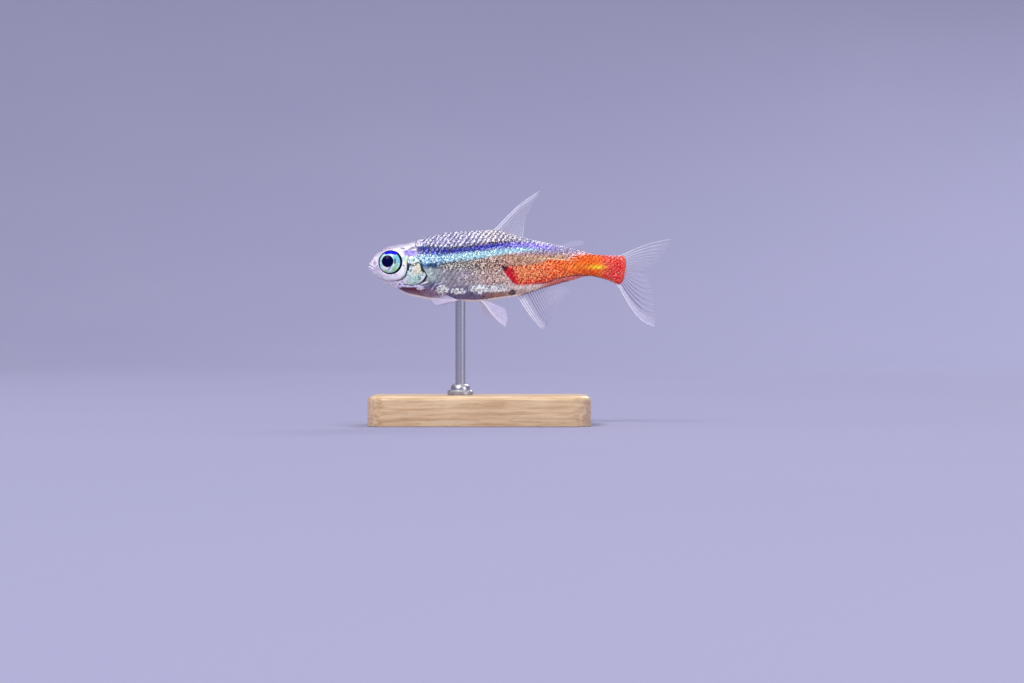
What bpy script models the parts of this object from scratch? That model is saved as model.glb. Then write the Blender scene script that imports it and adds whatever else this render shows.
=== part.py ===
"""Neon tetra, a life-size still model held by one rod over a flat base.

The fish swims towards -X with its left side towards -Y. The origin lies under the middle of the
model, on the surface that the base rests on.
"""

from math import cos, hypot, pi, sin

import bmesh
import bpy
import numpy as np
from mathutils import Vector

MM = 0.001

# Driving sizes in millimetres
TOTAL_LENGTH = 30.3
BODY_END = 25.2
AXIS_HEIGHT = 16.0
GAP = 0.2
FIN_THICKNESS = 0.5

# Outline of the body seen from its side: distance behind the snout, height over the body's axis
BACK_LINE = [(0.0, 0.0), (0.12, 0.22), (0.38, 0.64), (0.69, 1.01), (1.2, 1.42), (1.7, 1.70),
             (2.7, 1.92), (3.8, 2.13), (5.6, 2.75), (7.7, 3.28), (10.0, 3.45), (13.0, 3.56),
             (13.9, 3.25), (16.35, 2.57), (18.9, 2.02), (21.45, 1.40), (22.7, 1.08), (25.2, 0.95)]
BELLY_LINE = [(0.0, -0.21), (0.18, -0.57), (0.69, -1.18), (1.2, -1.59), (2.2, -2.13), (4.26, -3.10),
              (6.3, -3.52), (9.0, -3.66), (11.2, -3.70), (13.1, -3.42), (15.2, -3.10),
              (17.6, -2.31), (20.2, -1.61), (22.1, -1.13), (23.4, -1.38), (25.2, -1.98)]
HALF_WIDTH = [(0.0, 0.16), (0.12, 0.42), (0.38, 0.66), (0.8, 1.00), (1.4, 1.34), (2.4, 1.64),
              (4.5, 1.80), (7.0, 1.87), (10.0, 1.78), (13.0, 1.58), (16.0, 1.25), (19.0, 0.93),
              (22.0, 0.62), (24.0, 0.50), (25.2, 0.42)]

# Cross-section: share of the depth over the widest level, and how full the two halves are
WIDEST_LEVEL = 0.52
BACK_FULLNESS = 1.25
BELLY_FULLNESS = 0.95
RING_POINTS = 24
BODY_STATIONS = 46

# The rings lean back over the last stretch, where the tail droops, and end in a low dome
LEAN_START = 20.5
LEAN_END = 0.13
DOME = ((0.28, 0.88, 0.82), (0.50, 0.55, 0.50))

# Cuts between the lengths of the body
HEAD_END = 4.7
TRUNK_END = 15.3

# The two jaws part along the gape, and the lower one ends behind its joint
GAPE = [(-0.5, 0.02), (0.1, -0.05), (0.86, -0.48), (1.55, -1.15), (2.0, -2.4), (-0.5, -2.4)]

# Edge of the bony cover over the gills
GILL_COVER = [(4.05, 0.75), (4.75, 0.70), (5.25, 0.20), (5.45, -0.55), (5.79, -1.0), (5.6, -1.45),
              (5.2, -1.8), (4.5, -2.0), (3.6, -1.95), (3.25, -1.6), (3.8, -1.15), (3.98, -0.4)]
GILL_COVER_INSIDE = 1.25

EYE_CENTRE = (2.23, 1.15, 0.27)
EYE_RADIUS = 1.17
EYE_HALF_DEPTH = 0.64

# Each fin in the plane of its root and tips: the root's two ends, then the edge from the first
# ray's tip to the last one's, and how far the first and the last ray bow forward
DORSAL_FIN = {
    "root": [(12.95, 3.84), (15.45, 3.12)],
    "edge": [(17.2, 7.43), (16.75, 6.3), (15.75, 5.2), (15.6, 4.2)],
    "bow": (0.34, 0.0), "rays": 9}
ADIPOSE_FIN = {
    "root": [(19.6, 2.12), (20.6, 1.88)],
    "edge": [(20.4, 2.42), (21.2, 2.62), (22.2, 2.45), (21.3, 1.95)],
    "bow": (0.0, 0.0), "rays": 5}
ANAL_FIN = {
    "root": [(15.1, -3.40), (19.5, -2.10)],
    "edge": [(17.39, -6.46), (18.35, -6.1), (18.5, -4.4), (20.4, -2.85)],
    "bow": (-0.22, 0.0), "rays": 10}
TAIL_UPPER_LOBE = {
    "root": [(25.52, 1.06), (26.02, -0.42)],
    "edge": [(30.3, 2.60), (29.75, 1.3), (29.2, 0.1), (27.9, -0.70)],
    "bow": (0.22, 0.0), "rays": 9}
TAIL_LOWER_LOBE = {
    "root": [(25.10, -2.26), (25.98, -0.72)],
    "edge": [(28.73, -6.20), (28.95, -4.4), (28.5, -2.4), (27.9, -0.94)],
    "bow": (-0.9, 0.0), "rays": 9}

# Paired fins: as above, with each point's distance from the middle plane of the fish as well
PECTORAL_FIN = {
    "root": [(5.0, 1.66, -2.45), (5.45, 1.94, -1.95)],
    "edge": [(6.95, 2.16, -4.12), (7.5, 2.18, -4.0), (8.2, 2.2, -3.85), (9.2, 2.15, -3.65)],
    "bow": (0.0, 0.0), "rays": 7}
PELVIC_FIN_LEFT = {
    "root": [(11.6, 0.65, -3.88), (12.4, 0.55, -3.84)],
    "edge": [(13.75, 1.30, -6.22), (14.0, 1.25, -5.8), (14.1, 1.15, -5.2), (13.7, 1.0, -4.4)],
    "bow": (-0.2, 0.0), "rays": 7}
PELVIC_FIN_RIGHT = {
    "root": [(11.2, 0.65, -3.90), (12.0, 0.55, -3.88)],
    "edge": [(12.1, 1.55, -5.35), (12.4, 1.6, -5.5), (12.9, 1.5, -5.3), (13.1, 1.3, -4.9)],
    "bow": (-0.28, 0.0), "rays": 7}

# Display stand
BASE_LENGTH = 22.0
BASE_WIDTH = 13.0
BASE_HEIGHT = 3.0
BASE_CENTRE = -4.0
BASE_CORNER = 2.0
BASE_EDGE = 0.5
ROD_DIAMETER = 1.0
ROD_BEHIND_SNOUT = 9.2
ROD_INTO_BELLY = 1.3
ROD_INTO_BASE = 1.5
COLLAR_DIAMETER = 2.6
COLLAR_HEIGHT = 0.9

ROUND_ANGLE = pi / 5

# Colour, roughness and metallic value of each finish
FINISHES = {
    "pearl_skin": ((0.80, 0.70, 0.80), 0.35, 0.0),
    "violet_grey_scales": ((0.30, 0.32, 0.55), 0.32, 0.2),
    "red_skin": ((0.75, 0.08, 0.03), 0.38, 0.0),
    "mint_silver_plate": ((0.62, 0.75, 0.66), 0.28, 0.4),
    "dark_eye": ((0.02, 0.03, 0.12), 0.06, 0.0),
    "clear_fin": ((0.85, 0.87, 0.95), 0.30, 0.0),
    "pale_wood": ((0.72, 0.55, 0.38), 0.50, 0.0),
    "brushed_steel": ((0.66, 0.66, 0.68), 0.28, 1.0),
}


def clear_scene():
    for item in list(bpy.data.objects):
        bpy.data.objects.remove(item, do_unlink=True)


def finish(name):
    """The material of one finish, made the first time that it is asked for."""
    if name in bpy.data.materials:
        return bpy.data.materials[name]
    colour, roughness, metallic = FINISHES[name]
    material = bpy.data.materials.new(name)
    material.use_nodes = True
    shader = material.node_tree.nodes["Principled BSDF"]
    shader.inputs["Base Color"].default_value = (*colour, 1.0)
    shader.inputs["Roughness"].default_value = roughness
    shader.inputs["Metallic"].default_value = metallic
    return material


def place(x, y, z):
    """A point of the fish, in millimetres behind its snout and over its axis, in the model."""
    return Vector(((x - TOTAL_LENGTH / 2) * MM, y * MM, (z + AXIS_HEIGHT) * MM))


def add_object(name, bm, finish_name=None):
    """Puts a mesh in the scene. Without a finish it is a cutter or a guide."""
    bmesh.ops.recalc_face_normals(bm, faces=bm.faces)
    mesh = bpy.data.meshes.new(name)
    bm.to_mesh(mesh)
    bm.free()
    item = bpy.data.objects.new(name, mesh)
    bpy.context.collection.objects.link(item)
    if finish_name is None:
        item.hide_render = True
        item.display_type = "WIRE"
    else:
        mesh.materials.append(finish(finish_name))
        mesh.shade_smooth()
        mesh.set_sharp_from_angle(angle=ROUND_ANGLE)
    return item


def add_boolean(item, cutter, operation):
    step = item.modifiers.new(cutter.name, "BOOLEAN")
    step.operation = operation
    step.object = cutter


def smooth_line(points, x):
    """Height of a smooth line through the points, by cubic pieces that don't overshoot."""
    xs, ys = np.array(points, dtype=float).T
    steps = np.diff(xs)
    slopes = np.diff(ys) / steps
    middle = np.where(slopes[:-1] * slopes[1:] > 0,
                      2 * slopes[:-1] * slopes[1:] / (slopes[:-1] + slopes[1:] + 1e-12), 0.0)
    tangents = np.concatenate([slopes[:1], middle, slopes[-1:]])
    i = int(np.clip(np.searchsorted(xs, x) - 1, 0, len(steps) - 1))
    t = (x - xs[i]) / steps[i]
    return float(ys[i] * (1 + 2 * t) * (1 - t) ** 2 + ys[i + 1] * t * t * (3 - 2 * t)
                 + steps[i] * (tangents[i] * t * (1 - t) ** 2 - tangents[i + 1] * t * t * (1 - t)))


def section(x, height_share=1.0, width_share=1.0, shift=0.0):
    """One ring of the body: narrow over its widest level, full below it."""
    top, bottom = smooth_line(BACK_LINE, x), smooth_line(BELLY_LINE, x)
    middle = (top + bottom) / 2
    top, bottom = middle + (top - middle) * height_share, middle + (bottom - middle) * height_share
    widest = top - WIDEST_LEVEL * (top - bottom)
    width = smooth_line(HALF_WIDTH, x) * width_share
    lean = LEAN_END * max(0.0, (x - LEAN_START) / (BODY_END - LEAN_START)) ** 2
    ring = []
    for i in range(RING_POINTS):
        angle = 2 * pi * i / RING_POINTS
        rise, side = cos(angle), sin(angle)
        fullness = BACK_FULLNESS if rise > 0 else BELLY_FULLNESS
        reach = (top - widest) if rise > 0 else (widest - bottom)
        z = widest + reach * rise
        y = width * abs(side) ** fullness * (1 if side > 0 else -1)
        ring.append((x + shift + lean * (z - middle), y, z))
    return ring


def body_form(name):
    """The whole body in one piece, as rings bridged from the snout to the end of the flesh."""
    rings = []
    for i in range(BODY_STATIONS):
        share = i / (BODY_STATIONS - 1)
        x = 0.02 + (BODY_END - 0.02) * (0.45 * share ** 2 + 0.55 * share ** 1.2)
        rings.append(section(x))
    rings += [section(BODY_END, tall, wide, shift) for shift, tall, wide in DOME]
    bm = bmesh.new()
    loops = []
    for ring in rings:
        verts = [bm.verts.new(place(*point)) for point in ring]
        loops.append([bm.edges.new((verts[i - 1], verts[i])) for i in range(len(verts))])
    for fore, aft in zip(loops[:-1], loops[1:]):
        bmesh.ops.bridge_loops(bm, edges=fore + aft)
    bmesh.ops.contextual_create(bm, geom=loops[0])
    bmesh.ops.contextual_create(bm, geom=loops[-1])
    return add_object(name, bm)


def offset_outline(points, distance):
    """The closed outline moved outwards by the distance, with mitred corners."""
    area = sum(a[0] * b[1] - b[0] * a[1] for a, b in zip(points, points[1:] + points[:1]))
    side = distance if area > 0 else -distance
    moved = []
    for before, here, after in zip(points[-1:] + points[:-1], points, points[1:] + points[:1]):
        normals = []
        for start, end in ((before, here), (here, after)):
            length = hypot(end[0] - start[0], end[1] - start[1])
            normals.append(((end[1] - start[1]) / length, (start[0] - end[0]) / length))
        (ax, az), (bx, bz) = normals
        scale = side / (1 + ax * bx + az * bz)
        moved.append((here[0] + (ax + bx) * scale, here[1] + (az + bz) * scale))
    return moved


def prism(name, outline, near, far):
    """A side outline of the fish carried across it, from one distance off its middle to another."""
    bm = bmesh.new()
    face = bm.faces.new([bm.verts.new(place(x, near, z)) for x, z in outline])
    moved = bmesh.ops.extrude_face_region(bm, geom=[face])["geom"]
    verts = [item for item in moved if isinstance(item, bmesh.types.BMVert)]
    bmesh.ops.translate(bm, verts=verts, vec=(0, (far - near) * MM, 0))
    return add_object(name, bm)


def slab(name, start, end):
    """A block round the length of the body between two distances behind the snout."""
    return prism(name, [(start, -9.0), (end, -9.0), (end, 9.0), (start, 9.0)], -6.0, 6.0)


def ball(name, centre, radius, half_depth, finish_name=None):
    bm = bmesh.new()
    bmesh.ops.create_uvsphere(bm, u_segments=20, v_segments=12, radius=1.0)
    bmesh.ops.scale(bm, verts=bm.verts, vec=(radius * MM, half_depth * MM, radius * MM))
    bmesh.ops.translate(bm, verts=bm.verts, vec=place(*centre))
    return add_object(name, bm, finish_name)


def body_part(name, form, keep, cutters, finish_name):
    """The share of the body inside one block, less what its neighbours take."""
    item = form.copy()
    item.data = form.data.copy()
    item.name = name
    item.hide_render = False
    item.display_type = "TEXTURED"
    item.data.materials.append(finish(finish_name))
    item.data.shade_smooth()
    bpy.context.collection.objects.link(item)
    add_boolean(item, keep, "INTERSECT")
    for cutter in cutters:
        add_boolean(item, cutter, "DIFFERENCE")
    return item


def curve_point(points, t):
    """A point of the smooth curve steered by four points, the first and last of them on it."""
    a, b, c, d = (Vector(point) for point in points)
    s = 1 - t
    return a * s ** 3 + b * 3 * s * s * t + c * 3 * s * t * t + d * t ** 3


def fin(name, shape, side=0):
    """A fan from the root to the edge of the fin, thickened evenly to both sides.

    Side 0 is a fin on the middle plane, -1 a left one and 1 a right one.
    """
    def spread(point):
        return Vector((point[0], point[1] * side, point[2]) if side else (point[0], 0, point[1]))

    root = [spread(point) for point in shape["root"]]
    edge = [spread(point) for point in shape["edge"]]
    steps = 6
    bm = bmesh.new()
    rows = []
    for i in range(shape["rays"]):
        u = i / (shape["rays"] - 1)
        start, end = root[0].lerp(root[1], u), curve_point(edge, u)
        bow = Vector((0, 0, shape["bow"][0] * (1 - u) + shape["bow"][1] * u))
        points = [start.lerp(end, j / steps) + bow * sin(pi * j / steps) for j in range(steps + 1)]
        rows.append([bm.verts.new(place(*point)) for point in points])
    for near, far in zip(rows[:-1], rows[1:]):
        for j in range(steps):
            bm.faces.new((near[j], near[j + 1], far[j + 1], far[j]))
    item = add_object(name, bm, "clear_fin")
    wall = item.modifiers.new("thickness", "SOLIDIFY")
    wall.thickness = FIN_THICKNESS * MM
    wall.offset = 0.0
    return item


def cylinder(name, x, low, high, diameter, finish_name=None, sides=24):
    """An upright round bar centred over x, with its ends at two heights over the floor."""
    bm = bmesh.new()
    bmesh.ops.create_cone(bm, cap_ends=True, segments=sides, radius1=diameter / 2 * MM,
                          radius2=diameter / 2 * MM, depth=(high - low) * MM)
    bmesh.ops.translate(bm, verts=bm.verts, vec=(x * MM, 0, (low + high) / 2 * MM))
    return add_object(name, bm, finish_name)


def build_body():
    """The body parted into its lengths, its lower jaw and its gill covers, with the eye sockets."""
    form = body_form("body_form")
    rod_x = ROD_BEHIND_SNOUT - TOTAL_LENGTH / 2
    rod_top = AXIS_HEIGHT + smooth_line(BELLY_LINE, ROD_BEHIND_SNOUT) + ROD_INTO_BELLY
    pocket = cylinder("rod_pocket", rod_x, rod_top - 6.0, rod_top + GAP, ROD_DIAMETER + 2 * GAP)
    sockets, covers, recesses = [], [], []
    for side, word in ((-1, "left"), (1, "right")):
        x, y, z = EYE_CENTRE
        sockets.append(ball(f"socket_{word}", (x, side * y, z), EYE_RADIUS + GAP,
                            EYE_HALF_DEPTH + GAP))
        covers.append(prism(f"cover_{word}", GILL_COVER, side * GILL_COVER_INSIDE, side * 4.0))
        recesses.append(prism(f"recess_{word}", offset_outline(GILL_COVER, GAP),
                              side * (GILL_COVER_INSIDE - GAP), side * 4.2))
    jaw = prism("jaw_block", GAPE, -4.0, 4.0)
    jaw_room = prism("jaw_room", offset_outline(GAPE, GAP), -4.2, 4.2)
    head = slab("head_block", -1.0, HEAD_END - GAP / 2)
    trunk = slab("trunk_block", HEAD_END + GAP / 2, TRUNK_END - GAP / 2)
    tail = slab("tail_block", TRUNK_END + GAP / 2, BODY_END + 2.0)
    body_part("head", form, head, [jaw_room] + recesses + sockets, "pearl_skin")
    body_part("lower_jaw", form, jaw, sockets, "pearl_skin")
    body_part("trunk", form, trunk, recesses + [pocket], "violet_grey_scales")
    body_part("tail_stalk", form, tail, [], "red_skin")
    for cover, word in zip(covers, ("left", "right")):
        body_part(f"gill_cover_{word}", form, cover, [], "mint_silver_plate")


def build_eyes():
    for side, word in ((-1, "left"), (1, "right")):
        x, y, z = EYE_CENTRE
        ball(f"eye_{word}", (x, side * y, z), EYE_RADIUS, EYE_HALF_DEPTH, "dark_eye")


def build_fins():
    fin("dorsal_fin", DORSAL_FIN)
    fin("adipose_fin", ADIPOSE_FIN)
    fin("anal_fin", ANAL_FIN)
    fin("tail_fin_upper_lobe", TAIL_UPPER_LOBE)
    fin("tail_fin_lower_lobe", TAIL_LOWER_LOBE)
    fin("pelvic_fin_left", PELVIC_FIN_LEFT, -1)
    fin("pelvic_fin_right", PELVIC_FIN_RIGHT, 1)
    for side, word in ((-1, "left"), (1, "right")):
        fin(f"pectoral_fin_{word}", PECTORAL_FIN, side)


def rounded_outline(length, width, radius, steps=6):
    """Corners of a rectangle with round corners, anticlockwise from the right side."""
    points = []
    for quarter, (sx, sy) in enumerate(((1, 1), (-1, 1), (-1, -1), (1, -1))):
        for i in range(steps + 1):
            angle = (quarter + i / steps) * pi / 2
            points.append((sx * (length / 2 - radius) + radius * cos(angle),
                           sy * (width / 2 - radius) + radius * sin(angle)))
    return points


def build_stand():
    """A flat base with a seat for the rod, a collar round the rod's foot, and the rod."""
    rod_x = ROD_BEHIND_SNOUT - TOTAL_LENGTH / 2
    rod_top = AXIS_HEIGHT + smooth_line(BELLY_LINE, ROD_BEHIND_SNOUT) + ROD_INTO_BELLY
    bm = bmesh.new()
    outline = rounded_outline(BASE_LENGTH, BASE_WIDTH, BASE_CORNER)
    face = bm.faces.new([bm.verts.new(((BASE_CENTRE + x) * MM, y * MM, 0)) for x, y in outline])
    moved = bmesh.ops.extrude_face_region(bm, geom=[face])["geom"]
    top = [item for item in moved if isinstance(item, bmesh.types.BMVert)]
    bmesh.ops.translate(bm, verts=top, vec=(0, 0, BASE_HEIGHT * MM))
    rim = [edge for edge in bm.edges if all(vert in top for vert in edge.verts)]
    bmesh.ops.bevel(bm, geom=rim, offset=BASE_EDGE * MM, segments=3, profile=0.5,
                    affect="EDGES", clamp_overlap=True)
    base = add_object("stand_base", bm, "pale_wood")
    seat_floor = BASE_HEIGHT - ROD_INTO_BASE
    seat = cylinder("rod_seat", rod_x, seat_floor - GAP, BASE_HEIGHT + 1.0, ROD_DIAMETER + 2 * GAP)
    add_boolean(base, seat, "DIFFERENCE")
    collar_low = BASE_HEIGHT + GAP
    collar = cylinder("stand_collar", rod_x, collar_low, collar_low + COLLAR_HEIGHT,
                      COLLAR_DIAMETER, "brushed_steel")
    bore = cylinder("collar_bore", rod_x, 0.0, 6.0, ROD_DIAMETER + 2 * GAP)
    add_boolean(collar, bore, "DIFFERENCE")
    cylinder("stand_rod", rod_x, seat_floor, rod_top, ROD_DIAMETER, "brushed_steel")


def main():
    clear_scene()
    build_body()
    build_eyes()
    build_fins()
    build_stand()


main()
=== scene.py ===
"""Looks of a life-size neon tetra on its display stand.

One skin runs from the lips to the end of the flesh, with solid scales over it. Gill covers, eyes
and fins are pieces of their own. Shapes are worked out in millimetres of the fish: x is the
distance behind its snout, y off its middle plane and z over its axis. place() puts them in the
model, in metres.
"""

from math import pi, radians

import bpy
import numpy as np
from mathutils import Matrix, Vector


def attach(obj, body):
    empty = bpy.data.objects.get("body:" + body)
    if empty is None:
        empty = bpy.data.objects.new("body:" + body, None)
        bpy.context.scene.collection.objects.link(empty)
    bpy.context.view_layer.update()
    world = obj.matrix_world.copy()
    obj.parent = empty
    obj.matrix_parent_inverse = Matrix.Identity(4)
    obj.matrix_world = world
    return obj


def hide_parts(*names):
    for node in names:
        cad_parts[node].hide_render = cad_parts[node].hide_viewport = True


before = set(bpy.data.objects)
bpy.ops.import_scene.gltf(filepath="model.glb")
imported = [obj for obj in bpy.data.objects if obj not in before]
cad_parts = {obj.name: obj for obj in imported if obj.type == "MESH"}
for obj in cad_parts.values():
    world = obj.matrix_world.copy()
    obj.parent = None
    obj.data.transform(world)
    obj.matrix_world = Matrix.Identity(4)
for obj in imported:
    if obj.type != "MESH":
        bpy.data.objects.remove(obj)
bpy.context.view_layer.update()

MM = 0.001

# Sizes of the fish in millimetres, as its solids have them
TOTAL_LENGTH = 30.3
BODY_END = 25.2
AXIS_HEIGHT = 16.0
BACK_LINE = [(0.0, 0.0), (0.12, 0.22), (0.38, 0.64), (0.69, 1.01), (1.2, 1.42), (1.7, 1.7), (2.7, 1.92),
             (3.8, 2.13), (5.6, 2.75), (7.7, 3.28), (10.0, 3.45), (13.0, 3.56), (13.9, 3.25),
             (16.35, 2.57), (18.9, 2.02), (21.45, 1.4), (22.7, 1.08), (25.2, 0.95)]
BELLY_LINE = [(0.0, -0.21), (0.18, -0.57), (0.69, -1.18), (1.2, -1.59), (2.2, -2.13), (4.26, -3.1),
              (6.3, -3.52), (9.0, -3.66), (11.2, -3.7), (13.1, -3.42), (15.2, -3.1), (17.6, -2.31),
              (20.2, -1.61), (22.1, -1.13), (23.4, -1.38), (25.2, -1.98)]
HALF_WIDTH = [(0.0, 0.16), (0.12, 0.42), (0.38, 0.66), (0.8, 1.0), (1.4, 1.34), (2.4, 1.64), (4.5, 1.8),
              (7.0, 1.87), (10.0, 1.78), (13.0, 1.58), (16.0, 1.25), (19.0, 0.93), (22.0, 0.62),
              (24.0, 0.5), (25.2, 0.42)]
WIDEST_LEVEL = 0.52
BACK_FULLNESS = 1.25
BELLY_FULLNESS = 0.95
LEAN_START = 20.5
LEAN_END = 0.13
NOSE_DOME = 0.05
TAIL_DOME = 0.48

# The scales lift the outside of the body off the skin by this much
COAT_DEPTH = 0.06
HEAD_INSET = 0.01

# Where the parts of the head lie
EYE_X, EYE_Y, EYE_Z = 2.26, 1.15, 0.22
EYE_RADIUS = 1.15
EYE_HALF_DEPTH = 0.63
PUPIL_X, PUPIL_Z = 1.99, 0.33
PUPIL_RADIUS = 0.6
SOCKET_RIM = 0.14
SOCKET_FLOOR = 0.48
GAPE = [(-0.1, -0.03), (0.12, -0.06), (0.45, -0.24), (0.8, -0.5)]
PREOPERCLE = [(4.15, 0.75), (3.95, 0.1), (3.93, -0.55), (3.72, -1.1), (3.25, -1.5), (2.5, -1.66),
              (1.7, -1.62)]
GILL_COVER = [(4.05, 0.75), (4.75, 0.72), (5.25, 0.22), (5.45, -0.55), (5.79, -1.0), (5.6, -1.45),
              (5.2, -1.8), (4.5, -2.0), (3.7, -1.95), (3.45, -1.62), (3.84, -1.15), (4.0, -0.4)]
GILL_COVER_CENTRE = 4.62, -0.65
GILL_COVER_HALF = 0.045
NAPE = [(4.8, 2.5), (4.72, 2.0), (4.84, 1.72)]

# Fins, with points as (x, off the middle, z): the root's two ends, the edge from the first ray's
# tip to the last one's, how far the first and the last ray bow, how many rays there are and how
# thick. Veil is how dense the film is near the root and near the edge. Lead and dusk say how white
# and how dusky the rays are, as (share along the root, value).
FINS = {
    "dorsal_fin": {
        "root": [(12.95, 0, 3.84), (15.45, 0, 3.12)],
        "edge": [(17.2, 0, 7.43), (16.75, 0, 6.3), (15.75, 0, 5.2), (15.6, 0, 4.2)],
        "bow": (0.34, 0.0), "rays": 11, "thick": 0.036, "veil": (0.08, 0.03),
        "lead": [(0, 1), (0.12, 0.9), (0.2, 0.45), (0.9, 0.4), (1, 0.8)],
        "dusk": [(0, 0), (0.15, 0), (0.3, 0.35), (1, 0.1)]},
    "adipose_fin": {
        "root": [(19.6, 0, 2.12), (20.6, 0, 1.88)],
        "edge": [(20.4, 0, 2.42), (21.2, 0, 2.62), (22.2, 0, 2.45), (21.3, 0, 1.95)],
        "bow": (0.0, 0.0), "rays": 0, "thick": 0.0, "veil": (0.10, 0.07), "dusk": [(0, 0)]},
    "anal_fin": {
        "root": [(15.1, 0, -3.40), (19.5, 0, -2.10)],
        "edge": [(17.39, 0, -6.46), (18.35, 0, -6.1), (18.5, 0, -4.4), (20.4, 0, -2.85)],
        "bow": (-0.22, 0.0), "rays": 19, "thick": 0.034, "veil": (0.07, 0.01),
        "lead": [(0, 1), (0.13, 0.95), (0.18, 0.3), (0.5, 0.2), (0.7, 0.05)],
        "dusk": [(0, 0), (0.14, 0), (0.22, 0.85), (0.55, 0.6), (0.85, 0.0)]},
    "tail_fin_upper_lobe": {
        "root": [(25.52, 0, 1.06), (26.02, 0, -0.52)],
        "edge": [(30.3, 0, 2.60), (29.75, 0, 1.3), (29.2, 0, 0.1), (27.9, 0, -0.78)],
        "bow": (0.22, 0.0), "rays": 10, "thick": 0.032, "veil": (0.04, 0.01),
        "lead": [(0, 0.8), (0.15, 0.7), (0.3, 0.5), (1, 0.45)],
        "dusk": [(0, 0), (0.3, 0.1), (0.8, 0.35), (1, 0.5)]},
    "tail_fin_lower_lobe": {
        "root": [(25.10, 0, -2.26), (26.00, 0, -0.60)],
        "edge": [(28.73, 0, -6.20), (28.95, 0, -4.4), (28.5, 0, -2.4), (27.9, 0, -0.84)],
        "bow": (-0.9, 0.0), "rays": 10, "thick": 0.034, "veil": (0.06, 0.05),
        "lead": [(0, 1), (0.13, 0.8), (0.2, 0.2), (1, 0.3)],
        "dusk": [(0, 0), (0.14, 0.1), (0.2, 0.9), (0.7, 0.7), (1, 0.4)]},
    "pelvic_fin_left": {
        "root": [(11.6, -0.65, -3.88), (12.4, -0.55, -3.84)],
        "edge": [(13.75, -1.30, -6.22), (14.0, -1.25, -5.8), (14.1, -1.15, -5.2),
                 (13.7, -1.0, -4.4)],
        "bow": (-0.2, 0.0), "rays": 8, "thick": 0.034, "veil": (0.34, 0.26),
        "lead": [(0, 1), (0.16, 0.5), (0.3, 0.05)], "dusk": [(0, 0)]},
    "pelvic_fin_right": {
        "root": [(11.2, 0.65, -3.90), (12.0, 0.55, -3.88)],
        "edge": [(12.1, 1.55, -5.35), (12.4, 1.6, -5.5), (12.9, 1.5, -5.3), (13.1, 1.3, -4.9)],
        "bow": (-0.28, 0.0), "rays": 8, "thick": 0.034, "veil": (0.34, 0.26),
        "lead": [(0, 1), (0.16, 0.5), (0.3, 0.05)], "dusk": [(0, 0)]},
}
for side, word in ((-1, "left"), (1, "right")):
    FINS[f"pectoral_fin_{word}"] = {
        "root": [(5.0, side * 1.66, -2.45), (5.45, side * 1.94, -1.95)],
        "edge": [(6.95, side * 2.16, -4.12), (7.5, side * 2.18, -4.0), (8.2, side * 2.2, -3.85),
                 (9.2, side * 2.15, -3.65)],
        "bow": (0.0, 0.0), "rays": 11, "thick": 0.022, "veil": (0.02, 0.42),
        "lead": [(0, 0.06), (0.2, 0.0)], "dusk": [(0, 0)]}
ROOT_SINK = 0.6
FIN_REACH = 0.985
FILM_THICKNESS = 0.014

# Stand
BASE_LENGTH, BASE_WIDTH, BASE_HEIGHT = 22.0, 13.0, 3.0
BASE_CENTRE = -4.0
BASE_CORNER = 2.0
BASE_EDGE = 0.5
ROD_X = 9.2 - TOTAL_LENGTH / 2
ROD_RADIUS = 0.5
ROD_TOP = 13.55
COLLAR_RADIUS = 1.3
COLLAR_TOP = 4.1
SHARP_ANGLE = radians(35)

# Camera, set from the picture's frame: a level view from the fish's left side
PICTURE_WIDTH = 102.4
LENS = 100.0
SENSOR = 36.0
CAMERA_X = -0.79
CAMERA_Z = 8.35


# Shapes

def place(x, y, z):
    """Points of the fish in millimetres, put in the model in metres."""
    x, y, z = np.broadcast_arrays(x, y, z)
    return np.stack([x - TOTAL_LENGTH / 2, y, z + AXIS_HEIGHT], axis=-1) * MM


def ease(value, start, end):
    """0 before start and 1 after end, with a smooth cubic rise between them."""
    t = np.clip((value - start) / (end - start), 0.0, 1.0)
    return t * t * (3 - 2 * t)


def bell(distance, width):
    """1 at no distance, falling off as the exponential of minus its square over the width's."""
    return np.exp(-(distance / width) ** 2)


def smooth_line(points, x):
    """Height of a smooth line through the points, by cubic pieces that don't overshoot."""
    xs, ys = np.array(points, dtype=float).T
    x = np.clip(x, xs[0], xs[-1])
    steps = np.diff(xs)
    slopes = np.diff(ys) / steps
    middle = np.where(slopes[:-1] * slopes[1:] > 0,
                      2 * slopes[:-1] * slopes[1:] / (slopes[:-1] + slopes[1:] + 1e-12), 0.0)
    tangents = np.concatenate([slopes[:1], middle, slopes[-1:]])
    i = np.clip(np.searchsorted(xs, x) - 1, 0, len(steps) - 1)
    t = (x - xs[i]) / steps[i]
    return (ys[i] * (1 + 2 * t) * (1 - t) ** 2 + ys[i + 1] * t * t * (3 - 2 * t)
            + steps[i] * (tangents[i] * t * (1 - t) ** 2 - tangents[i + 1] * t * t * (1 - t)))


def body_levels(x, inset):
    """Heights of the back, the widest level and the belly, and the half width there."""
    top = smooth_line(BACK_LINE, x) - inset
    bottom = smooth_line(BELLY_LINE, x) + inset
    return top, top - WIDEST_LEVEL * (top - bottom), bottom, smooth_line(HALF_WIDTH, x) - inset


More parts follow.
